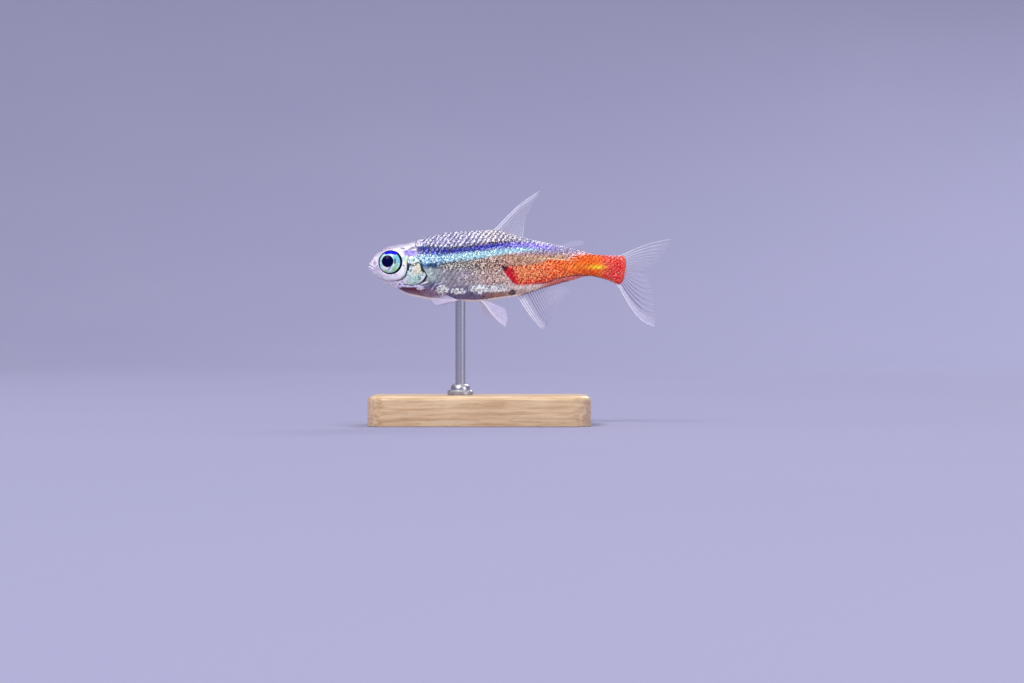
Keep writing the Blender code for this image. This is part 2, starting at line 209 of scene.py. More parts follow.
def body_point(x, angle, inset, shrink=1.0, shift=0.0):
    """A point of the body's form: the angle runs round the section from the back, by the right.

    Height goes by its cosine, over and under the widest level, and width by a power of its sine,
    which makes the back narrow and the belly full. The section leans back near the tail.
    """
    top, widest, bottom, width = body_levels(x, inset)
    middle = (top + bottom) / 2
    rise, across = np.cos(angle), np.sin(angle)
    fullness = np.where(rise > 0, BACK_FULLNESS, BELLY_FULLNESS)
    z = widest + np.where(rise > 0, top - widest, widest - bottom) * rise
    z = middle + (z - middle) * shrink
    y = width * shrink * np.abs(across) ** fullness * np.sign(across)
    lean = LEAN_END * np.clip((x - LEAN_START) / (BODY_END - LEAN_START), 0, 1) ** 2
    return np.stack(np.broadcast_arrays(x + shift + lean * (z - middle), y, z), axis=-1)


def flank_reach(x, z, inset=0.0):
    """How far the body's side lies off its middle plane at a height, from the same section."""
    top, widest, bottom, width = body_levels(x, inset)
    over = z > widest
    rise = np.clip(np.where(over, (z - widest) / (top - widest), (widest - z) / (widest - bottom)), 0, 1)
    return width * np.sqrt(1 - rise ** 2) ** np.where(over, BACK_FULLNESS, BELLY_FULLNESS)


def distance_to_line(x, z, points):
    """Distance in the side view to the nearest of the line's straight runs."""
    best = np.full(np.broadcast(x, z).shape, 1e9)
    for (ax, az), (bx, bz) in zip(points[:-1], points[1:]):
        dx, dz = bx - ax, bz - az
        t = np.clip(((x - ax) * dx + (z - az) * dz) / (dx * dx + dz * dz), 0, 1)
        best = np.minimum(best, np.hypot(x - ax - t * dx, z - az - t * dz))
    return best


def closed_curve(points, count):
    """Points evenly spread in number along a smooth closed curve through the given ones."""
    ring = np.array(points, dtype=float)
    t = np.arange(count) / count * len(ring)
    i = t.astype(int)
    f = (t - i)[:, None]
    a, b, c, d = (ring[(i + k) % len(ring)] for k in (-1, 0, 1, 2))
    return 0.5 * (2 * b + (c - a) * f + (2 * a - 5 * b + 4 * c - d) * f ** 2
                  + (3 * b - a - 3 * c + d) * f ** 3)


def grid_faces(rows, columns, round_rows=False, round_columns=False):
    """Quads between the points of a grid. They face out where row step x column step points out."""
    r = np.arange(rows if round_rows else rows - 1)[:, None]
    c = np.arange(columns if round_columns else columns - 1)[None, :]
    near, far = r * columns, (r + 1) % rows * columns
    after = (c + 1) % columns
    return np.stack([near + c, far + c, far + after, near + after], axis=-1).reshape(-1, 4)


def fan_faces(pole, ring, flip=False):
    """Triangles from one point to a closed ring of points."""
    after = np.roll(ring, -1)
    pair = (after, ring) if flip else (ring, after)
    return np.stack([np.full(len(ring), pole), *pair], axis=-1)


def grid_normals(points, round_columns=True):
    """Outward unit directions of a grid, from the cross product of its row and column steps."""
    along = np.gradient(points, axis=0)
    if round_columns:
        across = np.roll(points, -1, axis=1) - np.roll(points, 1, axis=1)
    else:
        across = np.gradient(points, axis=1)
    normals = np.cross(along, across)
    return normals / np.maximum(np.linalg.norm(normals, axis=-1, keepdims=True), 1e-12)


def add_mesh(name, points, faces, material):
    """A smooth mesh at the origin, from its points and groups of faces."""
    mesh = bpy.data.meshes.new(name)
    corners = np.concatenate([group.ravel() for group in faces]).astype(np.int32)
    sizes = np.concatenate([np.full(len(group), group.shape[1]) for group in faces])
    mesh.vertices.add(len(points))
    mesh.vertices.foreach_set("co", points.astype(np.float32).ravel())
    mesh.loops.add(len(corners))
    mesh.loops.foreach_set("vertex_index", corners)
    mesh.polygons.add(len(sizes))
    starts = np.concatenate([[0], np.cumsum(sizes)[:-1]]).astype(np.int32)
    mesh.polygons.foreach_set("loop_start", starts)
    mesh.update(calc_edges=True)
    mesh.shade_smooth()
    mesh.materials.append(material)
    item = bpy.data.objects.new(name, mesh)
    bpy.context.collection.objects.link(item)
    return item, corners


def make_piece(name, points, faces, material, replaced=(), marks=None, bake=None, sharp=False):
    """A mesh that rides on the model. Marks are numbers for each point, by name."""
    piece, corners = add_mesh(name, points, faces, material)
    for key, values in (marks or {}).items():
        layer = piece.data.attributes.new(key, "FLOAT", "POINT")
        layer.data.foreach_set("value", np.asarray(values, dtype=np.float32).ravel())
    if bake is not None:
        layer = piece.data.uv_layers.new(name="OFBake")
        layer.data.foreach_set("uv", bake(corners).astype(np.float32).ravel())
    if sharp:
        piece.data.set_sharp_from_angle(angle=SHARP_ANGLE)
    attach(piece, "root")
    if replaced:
        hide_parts(*replaced)


def closed_rings(rings, ends, outwards=True):
    """Points and faces of a closed shape: a grid of rings, and a point that closes each end."""
    rows, around = rings.shape[:2]
    count = rows * around
    first = np.arange(around)
    faces = [grid_faces(rows, around, round_columns=True), fan_faces(count, first),
             fan_faces(count + 1, first + count - around, flip=True)]
    if not outwards:
        faces = [group[:, ::-1] for group in faces]
    return np.concatenate([rings.reshape(-1, 3), ends]), faces


def thin_sheet(front, rear):
    """Points and faces of a closed sheet between two grids, with a wall round its rim."""
    rows, columns = front.shape[-3:-1]
    each = rows * columns
    index = np.arange(each).reshape(rows, columns)
    rim = np.concatenate([index[0], index[1:, -1], index[-1, -2::-1], index[-2:0:-1, 0]])
    after = np.roll(rim, -1)
    sheet = grid_faces(rows, columns)
    faces = np.concatenate([sheet, sheet[:, ::-1] + each,
                            np.stack([rim, after, after + each, rim + each], axis=-1)])
    sides = [side.reshape(*front.shape[:-3], 1, each, 3) for side in (front, rear)]
    return np.concatenate(sides, axis=-3), faces


def round_angles(count):
    """Angles evenly spread over a full turn."""
    return np.arange(count) / count * 2 * pi


def turned(radius, height, sides):
    """Rings of a profile turned round the upright axis."""
    angle = round_angles(sides)
    radius, height = np.array(radius)[:, None], np.array(height)[:, None]
    return np.stack(np.broadcast_arrays(radius * np.cos(angle), radius * np.sin(angle), height), axis=-1)


# Materials

# Marking edges are curves over this length of the fish and this far off its axis
CURVE_LENGTH = 26.0
CURVE_REACH = 4.0


def screen(red, green, blue):
    """A screen colour, in hundredths, as the light values that a shader takes."""
    return tuple(c / 12.92 if c <= 0.04045 else ((c + 0.055) / 1.055) ** 2.4
                 for c in (red / 100, green / 100, blue / 100)) + (1.0,)


class Wire:
    """A number, place or colour on its way through a material, which Python's signs work on."""

    def __init__(self, paint, socket):
        self.paint = paint
        self.socket = socket

    def maths(self, kind, *values):
        return self.paint.node("ShaderNodeMath", {"operation": kind}, dict(enumerate(values)))

    def __abs__(self):
        return self.maths("ABSOLUTE", self)

    def sine(self):
        return self.maths("SINE", self)

    def share(self, low, high, rise="LINEAR"):
        """0 at low and 1 at high, and the same beyond them. Low may be the larger of the two."""
        return self.paint.node("ShaderNodeMapRange", {"interpolation_type": rise},
                               {0: self, 1: low, 2: high, 3: 0.0, 4: 1.0})

    def step(self, low, high):
        """Like share, with a smooth rise."""
        return self.share(low, high, "SMOOTHSTEP")

    def between(self, low, high, soft):
        """1 between two limits and 0 outside them, with soft borders."""
        return self.step(low - soft, low + soft) * self.step(high + soft, high - soft)

    def ramp(self, stops, low=0, high=1):
        """A colour for each value, by stops between the low one and the high one."""
        stops = [((at - low) / (high - low), colour) for at, colour in stops]
        return self.paint.node("ShaderNodeValToRGB", {"stops": stops}, {0: self.share(low, high)})

    def line(self, points):
        """Height of a smooth marking edge at each x of the fish, through the (x, z) points."""
        curve = [(x / CURVE_LENGTH, (z + CURVE_REACH) / (2 * CURVE_REACH)) for x, z in points]
        share = self.paint.node("ShaderNodeFloatCurve", {"curve": curve}, {1: self / CURVE_LENGTH})
        return share * (2 * CURVE_REACH) - CURVE_REACH

    def noise(self, scale, detail=2.0, roughness=0.5):
        """Clouds over the places on this wire."""
        return self.paint.node("ShaderNodeTexNoise", None,
                               {"Vector": self, "Scale": scale, "Detail": detail, "Roughness": roughness})

    def specks(self, scale):
        """Small soft flecks over the places on this wire, from 0 to 1."""
        return self.noise(scale, 1.0).share(0.3, 0.7)

    def threads(self, scale, width):
        """1 on thin winding lines, which run where a noise is at its middle value."""
        return abs(self.noise(scale) - 0.5).step(width, width * 0.3)

    def mapped(self, turn=(0.0, 0.0, 0.0), stretch=(1.0, 1.0, 1.0)):
        """The places on this wire, turned and stretched."""
        return self.paint.node("ShaderNodeMapping", None, {0: self, 2: turn, 3: stretch})

    def mix(self, first, second):
        """The first colour where this mask is 0, the second where it is 1."""
        return self.paint.node("ShaderNodeMix", {"data_type": "RGBA"}, {0: self, 6: first, 7: second}, 2)

    def lay(self, mask, colour):
        """Lays a colour over this one, where the mask is 1."""
        self.socket = mask.mix(self, colour).socket

    def scaled(self, share):
        """A colour or place times a number."""
        return self.paint.node("ShaderNodeVectorMath", {"operation": "SCALE"}, {0: self, "Scale": share})


# Python's signs between wires, or between a wire and a number, become maths nodes
for sign, kind in (("add", "ADD"), ("sub", "SUBTRACT"), ("mul", "MULTIPLY"), ("truediv", "DIVIDE"),
                   ("pow", "POWER")):
    setattr(Wire, f"__{sign}__", lambda self, other, kind=kind: self.maths(kind, self, other))
    setattr(Wire, f"__r{sign}__", lambda self, other, kind=kind: self.maths(kind, other, self))


class Paint:
    """A material and the nodes that feed its shader."""

    def __init__(self, name, constants):
        self.material = bpy.data.materials.new(name)
        self.material.use_nodes = True
        self.tree = self.material.node_tree
        self.shader = self.tree.nodes["Principled BSDF"]
        for key, value in constants.items():
            self.shader.inputs[key].default_value = value

    def node(self, kind, settings=None, sockets=None, out=0):
        """Adds a node: its settings first, then the values or links of its sockets."""
        made = self.tree.nodes.new(kind)
        for key, value in (settings or {}).items():
            if key == "stops":
                self.fill_ramp(made.color_ramp, value)
            elif key == "curve":
                self.fill_curve(made.mapping, value)
            else:
                setattr(made, key, value)
        for key, value in (sockets or {}).items():
            self.join(made.inputs[key], value)
        return Wire(self, made.outputs[out])

    def join(self, socket, value):
        if isinstance(value, Wire):
            self.tree.links.new(value.socket, socket)
        else:
            socket.default_value = value

    def feed(self, **sockets):
        """Joins wires or values to the shader's own sockets."""
        for key, value in sockets.items():
            self.join(self.shader.inputs[key.replace("_", " ").title()], value)

    @staticmethod
    def fill_ramp(ramp, stops):
        while len(ramp.elements) < len(stops):
            ramp.elements.new(0.5)
        for element, (share, colour) in zip(ramp.elements, stops):
            element.position = share
            element.color = colour

    @staticmethod
    def fill_curve(mapping, points):
        curve = mapping.curves[0]
        while len(curve.points) < len(points):
            curve.points.new(0.5, 0.5)
        for point, spot in zip(curve.points, points):
            point.location = spot
        mapping.update()

    def where(self):
        """The surface point's own place in the model, in millimetres."""
        return self.node("ShaderNodeTexCoord", out="Object").scaled(1 / MM)

    def spot(self):
        """Its x, |y| and z in the fish, and the place that they come from."""
        where = self.where()
        split = self.node("ShaderNodeSeparateXYZ", None, {0: where}).socket.node
        x, y, z = (Wire(self, socket) for socket in split.outputs)
        return x + TOTAL_LENGTH / 2, abs(y), z - AXIS_HEIGHT, where

    def mark(self, name):
        return self.node("ShaderNodeAttribute", {"attribute_name": name}, out="Fac")

    def relief(self, height, strength, distance):
        """Bumps over the surface."""
        self.feed(normal=self.node("ShaderNodeBump", None, {"Height": height, "Strength": strength,
                                                            "Distance": distance}, "Normal"))


def patch(x, z, centre, radii, soft):
    """1 in the middle of an oval patch of the side view, falling to 0 at its edge."""
    across, up = (x - centre[0]) / radii[0], (z - centre[1]) / radii[1]
    return (across * across + up * up).step(1.0, 1.0 - soft)


def stroke(x, z, start, end, width):
    """1 along a straight stroke of the side view, which fades at its borders and its ends."""
    run, climb = end[0] - start[0], end[1] - start[1]
    length = (run ** 2 + climb ** 2) ** 0.5
    ux, uz = run / length, climb / length
    dx, dz = x - start[0], z - start[1]
    return (abs(dx * uz - dz * ux).step(width, width * 0.3)
            * (dx * ux + dz * uz).between(0.0, length, width))


def patches(x, z, rows):
    """Oval patches added up, each from its centre, radii, softness and strength."""
    return sum(patch(x, z, *row[:3]) * row[3] for row in rows)


def strokes(x, z, rows):
    """Straight strokes added up, each from its start, end, width and strength."""
    return sum(stroke(x, z, *row[:3]) * row[3] for row in rows)


def trail(x, z, points, width):
    """One bent stroke through the points."""
    return sum(stroke(x, z, *ends, width) for ends in zip(points[:-1], points[1:]))


# Tones of the fish, as they look on a screen
WHITE = screen(96, 97, 99)
PEARL = screen(96, 94, 97)
CREAM = screen(95, 88, 84)
SAND = screen(74, 62, 53)
LILAC = screen(55, 53, 68)
PALE_LILAC = screen(88, 85, 94)
SLATE = screen(36, 35, 52)
VIOLET = screen(66, 52, 94)
NIGHT = screen(3, 4, 16)
NAVY_BLUE = screen(3, 4, 28)
DEEP_BLUE = screen(7, 10, 56)
BLUE = screen(22, 26, 72)
SOFT_BLUE = screen(44, 49, 86)
PALE_BLUE = screen(78, 84, 99)
TURQUOISE = screen(44, 66, 84)
MINT = screen(60, 80, 80)
PALE_MINT = screen(78, 93, 94)
TEAL = screen(16, 36, 54)
HAZE = screen(62, 67, 66)
GREY = screen(64, 62, 64)
DUSK = screen(42, 39, 54)
OLIVE = screen(52, 52, 48)
SOOT = screen(22, 22, 22)
BROWN = screen(64, 47, 38)
TAN = screen(75, 57, 44)
ROSE = screen(66, 49, 50)
MAUVE = screen(52, 40, 52)
BURGUNDY = screen(36, 10, 25)
MAROON = screen(34, 3, 10)
CRIMSON = screen(82, 2, 10)
RED = screen(92, 6, 4)
SCARLET = screen(95, 20, 2)
ORANGE = screen(99, 38, 0)
AMBER = screen(100, 54, 4)
GOLD = screen(100, 70, 6)
BONE = screen(84, 80, 74)
WINE_BROWN = screen(42, 27, 25)
PLUM = screen(20, 7, 22)
RUST = screen(62, 16, 5)
PEACH = screen(96, 52, 28)
SALMON = screen(98, 60, 48)


def body_colours(paint):
    """The markings of the whole body, read off the place of each point in the fish.

    Returns the colour, masks of the back over the stripe and of the stripe, and the place and
    grain that they are drawn with.
    """
    x, _, z, where = paint.spot()
    speck = where.specks(7.5)
    grain = where.specks(12.0)
    fleck = speck * 0.65 + grain * 0.35
    cloud = where.noise(1.6, 4.0, 0.6)
    brushed = where.mapped((0.0, -0.45, 0.0), (1.7, 1.0, 0.5))
    brush = brushed.noise(3.2, 4.0, 0.65)
    ragged = (where.noise(5.0, 3.0, 0.7) - 0.5) * 0.5
    uneven = z + ragged
    loose = z + ragged * 0.5

    colour = ground_colours(x, uneven, z, cloud)
    colour = colour.scaled(0.32 + brush * 1.4)
    warm = uneven.between(-1.9, -0.3, 0.3) * x.between(9.5, 14.2, 0.8)
    colour.lay(warm * fleck.step(0.46, 0.22) * 0.75, WINE_BROWN)
    colour.lay(warm * fleck.step(0.54, 0.78) * 0.75, CREAM)
    segments = ((x + z * 0.5) * 8.2).sine()
    muscle = uneven.between(-1.8, -0.5, 0.3) * x.between(6.8, 12.6, 0.8)
    colour.lay((segments + ragged).step(0.55, 1.0) * muscle * 0.32, DUSK)

    pepper = uneven.between(-0.55, 0.9, 0.35) * x.between(7.2, 13.4, 0.9)
    colour.lay(pepper * fleck.step(0.52, 0.26) * 0.95, SOOT)
    colour.lay(pepper * fleck.step(0.54, 0.78), BONE)
    dusty = x.between(13.0, 22.0, 1.0) * z.step(-0.4, 0.2)
    colour.lay(dusty * fleck.step(0.44, 0.2) * 0.8, WINE_BROWN)
    colour.lay(dusty * fleck.step(0.6, 0.86) * 0.5, CREAM)

    silver = (brush + speck * 0.22).step(0.5, 0.66)
    gut = patches(x, uneven + (brush - 0.5) * 0.7, [
        ((7.45, -2.48), (0.78, 0.5), 0.5, 1.0), ((9.0, -2.66), (0.95, 0.36), 0.6, 0.95),
        ((11.1, -2.42), (1.25, 0.55), 0.6, 0.95), ((12.9, -2.35), (1.5, 0.48), 0.6, 0.85)])
    colour.lay(gut, silver.mix(screen(58, 62, 62), screen(98, 100, 98)))
    colour.lay(strokes(x, z, [
        ((6.35, -2.5), (6.75, -2.0), 0.09, 0.55), ((6.7, -2.02), (7.75, -1.68), 0.08, 0.55)]), PALE_LILAC)

    stripe, back = stripe_colours(x, z, loose, ragged, speck, grain, colour)
    red_colours(x, z, loose, uneven, ragged, where, speck, colour)

    glow = patch(x, uneven, (6.12, -0.8), (0.45, 0.62), 0.9)
    colour.lay(glow * 0.6, screen(80, 88, 85))
    shadow = patch(x, uneven, (6.25, -1.95), (0.55, 0.38), 0.9)
    colour.lay(shadow * 0.45, screen(34, 32, 44))
    bar = patches(x, loose, [
        ((6.78, -0.02), (0.16, 0.62), 0.9, 0.8), ((6.35, -0.12), (0.55, 0.32), 0.9, 0.45)])
    colour.lay(bar, screen(6, 18, 30))
    # Painted shadow on the body just behind the gill cover's free edge.
    gill_shadow = trail(x, loose, [
        (5.16, 0.16), (5.32, -0.1), (5.48, -0.5), (5.68, -0.82), (5.88, -1.12), (5.7, -1.56),
        (5.3, -1.98)], 0.16)
    colour.lay(gill_shadow * 0.9, NIGHT)
    vent = patch(x, loose, (14.4, -2.78), (0.46, 0.42), 0.7)
    colour.lay(vent * (0.65 + 0.35 * speck.step(0.62, 0.38)), PLUM)
    spots = patches(x, z, [
        ((11.5, -3.18), (0.12, 0.1), 0.5, 0.9), ((12.9, -3.18), (0.1, 0.09), 0.5, 0.9)])
    colour.lay(spots, BURGUNDY)
    throat_colours(x, z, ragged, colour)
    fins = x.line([(14.8, -3.08), (15.6, -2.9), (16.6, -2.6), (17.6, -2.22), (20.0, -1.54)])
    beads = (x * 30.0).sine()
    base = (abs(loose - fins).step(0.1, 0.03) * x.between(15.2, 20.0, 0.3)
            * (0.25 + 0.6 * (beads + speck * 1.4).step(0.2, 1.1)))
    colour.lay(base, screen(10, 3, 16))
    colour = colour.scaled(fleck * 0.95 + 0.53)
    keel = x.line([
        (2.6, -2.12), (3.25, -2.5), (4.0, -2.83), (5.0, -3.04), (6.3, -3.28), (9.0, -3.44), (11.2, -3.47),
        (13.1, -3.2), (15.2, -2.88), (17.6, -2.1)])
    # The pale keel line is the fish's own colour, but it goes on near white after the flecked dimming:
    # partly painted light, for light that the down-facing edge doesn't get.
    rim = (z - keel).step(0.05, -0.05) * x.between(2.9, 15.2, 0.5)
    colour.lay(rim, screen(100, 97, 94))
    return colour, (back, stripe), (x, z, where, speck, ragged)


def throat_colours(x, z, ragged, colour):
    """The wine-dark throat, which fades to mauve along the front of the belly."""
    throat = (z + ragged * 0.4).step(-2.16, -2.3) * (x + ragged).between(3.1, 5.9, 0.4)
    wine = (z + x * 0.12 + ragged).step(-2.35, -1.95).mix(MAUVE, BURGUNDY)
    colour.lay(throat, wine)
    base = patches(x + ragged, z, [((5.25, -2.36), (0.48, 0.2), 0.7, 0.9)])
    colour.lay(base, PALE_LILAC)
    colour.lay(stroke(x, z, (5.3, -1.95), (6.02, -1.7), 0.11) * 0.9, WHITE)


def ground_colours(x, uneven, z, cloud):
    """What lies under the markings: four columns of colours, blended over the fish's length."""
    front = uneven.ramp([
        (-3.45, MAUVE), (-2.7, MAUVE), (-2.2, DUSK), (-1.5, HAZE), (-0.5, HAZE), (-0.1, TEAL),
        (0.2, TEAL)], -4, 1)
    middle = uneven.ramp([(-3.4, DUSK), (-2.6, DUSK), (-1.9, GREY), (-0.6, GREY), (-0.3, OLIVE),
                          (0.5, OLIVE), (1.0, HAZE)], -4, 1)
    behind = uneven.ramp([(-3.3, BROWN), (-2.2, ROSE), (-1.5, SAND), (-0.6, SAND), (-0.3, BROWN),
                          (0.6, BROWN), (1.1, TAN)], -4, 1.4)
    rear = uneven.ramp([(-3.2, SAND), (-2.0, CREAM), (-1.0, TAN), (0.8, TAN), (1.4, LILAC)], -4, 1.6)
    colour = x.step(6.6, 8.2).mix(front, middle)
    colour.lay((x + z * 0.3).step(9.4, 12.0), behind)
    colour.lay(x.step(13.0, 14.9), rear)
    return colour.scaled(0.55 + cloud * 0.9)


def stripe_colours(x, z, loose, ragged, speck, grain, colour):
    """Over the flank: the shining stripe, blue above and mint below, and the pale back above it."""
    top = x.line([
        (4.6, 1.66), (5.2, 1.78), (7.66, 1.72), (9.66, 1.84), (11.26, 2.02), (12.86, 2.26), (15.16, 2.32),
        (16.96, 2.12), (19.0, 1.8), (22.0, 1.2)])
    middle = x.line([
        (4.6, 1.05), (7.66, 1.02), (9.66, 1.22), (11.26, 1.38), (12.86, 1.58), (15.16, 1.72), (18.3, 1.5),
        (22.0, 0.9)])
    foot = x.line([
        (4.6, 0.16), (7.06, 0.14), (8.96, 0.42), (11.26, 0.62), (12.86, 0.92), (15.16, 1.28),
        (16.36, 1.4), (18.5, 1.45), (22.0, 0.9)])
    end = (x + ragged * 3.0).step(19.6, 17.6)
    shade = speck * 0.95 + (x - 9.0) * 0.04 - (z - middle) * 0.3 - 0.12
    blues = shade.ramp([
        (0.0, NAVY_BLUE), (0.3, DEEP_BLUE), (0.6, BLUE), (0.85, SOFT_BLUE), (1.0, PALE_BLUE)])
    violets = speck.ramp([(0.0, BLUE), (0.3, SOFT_BLUE), (0.7, VIOLET), (1.0, PALE_LILAC)])
    blues.lay(x.step(12.5, 16.0), violets)
    cyans = speck.ramp([(0.0, TEAL), (0.35, TURQUOISE), (0.7, PALE_MINT), (1.0, WHITE)])
    mints = speck.ramp([(0.0, TURQUOISE), (0.45, MINT), (0.8, PALE_MINT), (1.0, WHITE)])
    mints = x.step(7.0, 9.5).mix(cyans, mints)
    mint_part = (loose + (grain - 0.5) * 0.3).between(foot, middle, 0.13)
    blue_part = (loose + (grain - 0.5) * 0.45).between(middle, top, 0.1)
    colour.lay(mint_part * end * x.step(19.0, 15.5), mints)
    colour.lay(blue_part * end, blues)

    back = loose.step(top - 0.02, top + 0.12) * x.step(4.3, 4.7)
    backs = speck.ramp([(0.0, SLATE), (0.5, LILAC), (0.9, PALE_LILAC), (1.0, WHITE)])
    creams = speck.ramp([(0.0, SLATE), (0.35, GREY), (0.7, CREAM), (1.0, WHITE)])
    backs.lay(x.between(11.0, 14.8, 1.4), creams)
    colour.lay(back, backs)
    nape = back * (x + ragged * 2.5).step(6.1, 4.9) * 0.6
    colour.lay(nape * speck.step(0.25, 0.55), PEARL)
    net = (z - top).between(0.25, 1.1, 0.2) * x.between(12.8, 21.0, 0.5)
    colour.lay(net * grain.step(0.42, 0.28), NIGHT)
    teeth = (loose - top).between(-0.16, 0.26, 0.1) * x.step(16.5, 13.5) * x.between(5.4, 20.0, 0.6)
    colour.lay(teeth * speck.step(0.62, 0.44), NIGHT)
    return (mint_part + blue_part) * end, back


def red_colours(x, z, loose, uneven, ragged, where, speck, colour):
    """The red rear half: crimson in front, salmon and orange with winding threads, red at the end."""
    front = x.line([
        (12.6, 1.0), (13.15, 0.1), (13.6, -0.75), (14.2, -1.55), (14.55, -1.95), (15.4, -3.0)])
    top = x.line([
        (13.0, 0.1), (13.9, -0.15), (15.66, -0.02), (17.0, 0.2), (18.0, 0.46), (20.0, 0.62), (21.0, 0.95),
        (22.1, 1.1), (25.8, 1.3)])
    foot = x.line([
        (14.0, -1.95), (15.16, -2.02), (16.76, -1.9), (17.66, -1.78), (18.86, -1.42), (20.2, -1.1),
        (21.2, -1.02), (22.3, -1.1), (23.4, -1.35), (25.8, -2.4)])
    inner = ((z - front + ragged * 0.5).step(-0.06, 0.12)
             * (uneven + (speck - 0.5) * 0.22).between(foot, top, 0.13))
    below = x.between(17.5, 23.6, 0.8) * loose.step(foot + 0.05, foot - 0.05)
    colour.lay(below, screen(93, 50, 46))

    threads = where.threads(4.6, 0.085)
    dots = x.between(14.8, 21.0, 0.8)
    flame = (x + z * 0.5).step(16.2, 18.4).mix(PEACH, ORANGE)
    flame.lay(where.noise(3.0, 3.0, 0.7).step(0.46, 0.62) * 0.75, SCARLET)
    flame.lay(threads * x.step(20.0, 16.0) * 0.6, screen(99, 78, 52))
    flame.lay(threads * x.step(17.5, 19.5) * 0.5, AMBER)
    flame.lay(dots * speck.step(0.46, 0.2) * 0.75, SCARLET)
    flame.lay(dots * speck.step(0.6, 0.84) * 0.7, screen(100, 70, 44))
    low = (uneven + speck * 0.6 - foot).step(0.9, 0.4) * x.step(19.5, 17.5)
    flame.lay(low * x.step(14.9, 15.6), SCARLET)
    flame.lay(low * speck.step(0.6, 0.35), RED)
    flame.lay(patch(x, z, (21.8, -0.15), (3.2, 0.5), 0.9) * 0.5, AMBER)
    flame.lay(patch(x, z, (22.8, -0.22), (1.3, 0.34), 0.95) * 0.9, GOLD)
    flame.lay(patch(x, z, (22.95, -0.24), (0.75, 0.22), 0.9), screen(100, 82, 12))
    tip = (x + ragged + abs(z + 0.3) * 0.7).step(23.6, 24.5)
    flame.lay(tip, RED)
    flame.lay(tip * speck.step(0.5, 0.2) * 0.7, CRIMSON)
    flame.lay(where.threads(4.4, 0.07) * x.step(22.6, 24.0) * 0.6, SALMON)
    crimson = (x + (z + 1.0) * 0.5 + ragged * 2.0 + (speck - 0.5) * 0.7).step(15.3, 14.4)
    flame.lay(crimson, CRIMSON)
    flame.lay(patch(x, z, (13.5, -0.25), (0.62, 0.55), 0.9), MAROON)
    brim = (x.between(14.6, 19.0, 0.8) * (uneven - top).step(-0.62, -0.05)
            + x.between(20.4, 23.6, 0.5) * (uneven - top).step(-0.75, -0.3))
    flame.lay(brim * speck.step(0.56, 0.26) * 0.8, RUST)
    flame.lay(speck.step(0.12, 0.02) * 0.6, MAROON)
    pink = (z - front).step(-0.3, -0.08) * z.between(-1.9, -0.6, 0.3)
    colour.lay(pink * 0.7 * x.step(14.8, 14.3), screen(92, 72, 72))
    colour.lay(inner, flame)
    hem = abs(loose - foot).step(0.09, 0.03) * x.between(16.6, 23.4, 0.6) * speck.step(0.95, 0.6)
    colour.lay(hem * 0.85, MAROON)
    over = (loose - top).between(0.0, 0.4, 0.15) * x.between(20.0, 25.0, 0.6)
    colour.lay(over * speck.step(0.3, 0.6), screen(97, 74, 74))

    lateral = x.line([(14.4, 0.76), (15.1, 0.73), (17.0, 0.62), (18.3, 0.6), (19.9, 0.46), (21.0, 0.38)])
    pale = abs(z - lateral).step(0.085, 0.02) * x.between(15.0, 20.4, 0.6)
    tint = x.step(16.5, 18.0).mix(SAND, screen(99, 84, 62))
    colour.lay(pale * 0.9, tint)


def skin_material():
    """Smooth wet skin: the body's markings behind, a pearly head in front, painted shade in its creases.
    """
    paint = Paint("wet_skin",
                  {"Subsurface Weight": 0.1, "Subsurface Scale": 0.0004, "Coat Weight": 0.3,
                   "Coat Roughness": 0.12, "Specular IOR Level": 0.35})
    body, _, (x, z, where, speck, ragged) = body_colours(paint)
    head, cloud = head_colours(x, z, where, speck, ragged)
    edge = (x + ragged * 0.25 - z.step(-1.9, -2.2) * 0.7).step(5.0, 4.72)
    colour = (edge * (z + ragged * 0.4).step(-2.3, -2.16)).mix(body, head)
    colour.lay(x.step(3.3, 2.9), head)
    lined = x + ragged * 0.3
    plate_edge = trail(lined, z, [
        (4.14, 0.6), (4.01, 0.12), (3.97, -0.48), (3.79, -1.12), (3.44, -1.47), (2.96, -1.62)], 0.075)
    plate_edge = plate_edge + stroke(lined, z, (2.98, -1.62), (2.2, -1.66), 0.04) * 0.6
    colour.lay(plate_edge * 0.9, NIGHT)
    # Painted shade in the creases: mouth, nostrils, cheek edge, gill opening, nape and eye sockets.
    colour.lay(paint.mark("fold"), NIGHT)
    paint.feed(base_color=colour, roughness=0.28 + cloud * 0.15)
    relief = where.noise(9.0, 3.0, 0.6) * 0.5 + cloud
    paint.relief(relief, 0.5, 5e-05)
    return paint.material


def gill_mints(speck):
    """Teal to white, over the head behind the cheek and the top of the gill plate."""
    return speck.ramp([(0.0, TEAL), (0.25, TURQUOISE), (0.5, PALE_MINT), (0.8, WHITE)])


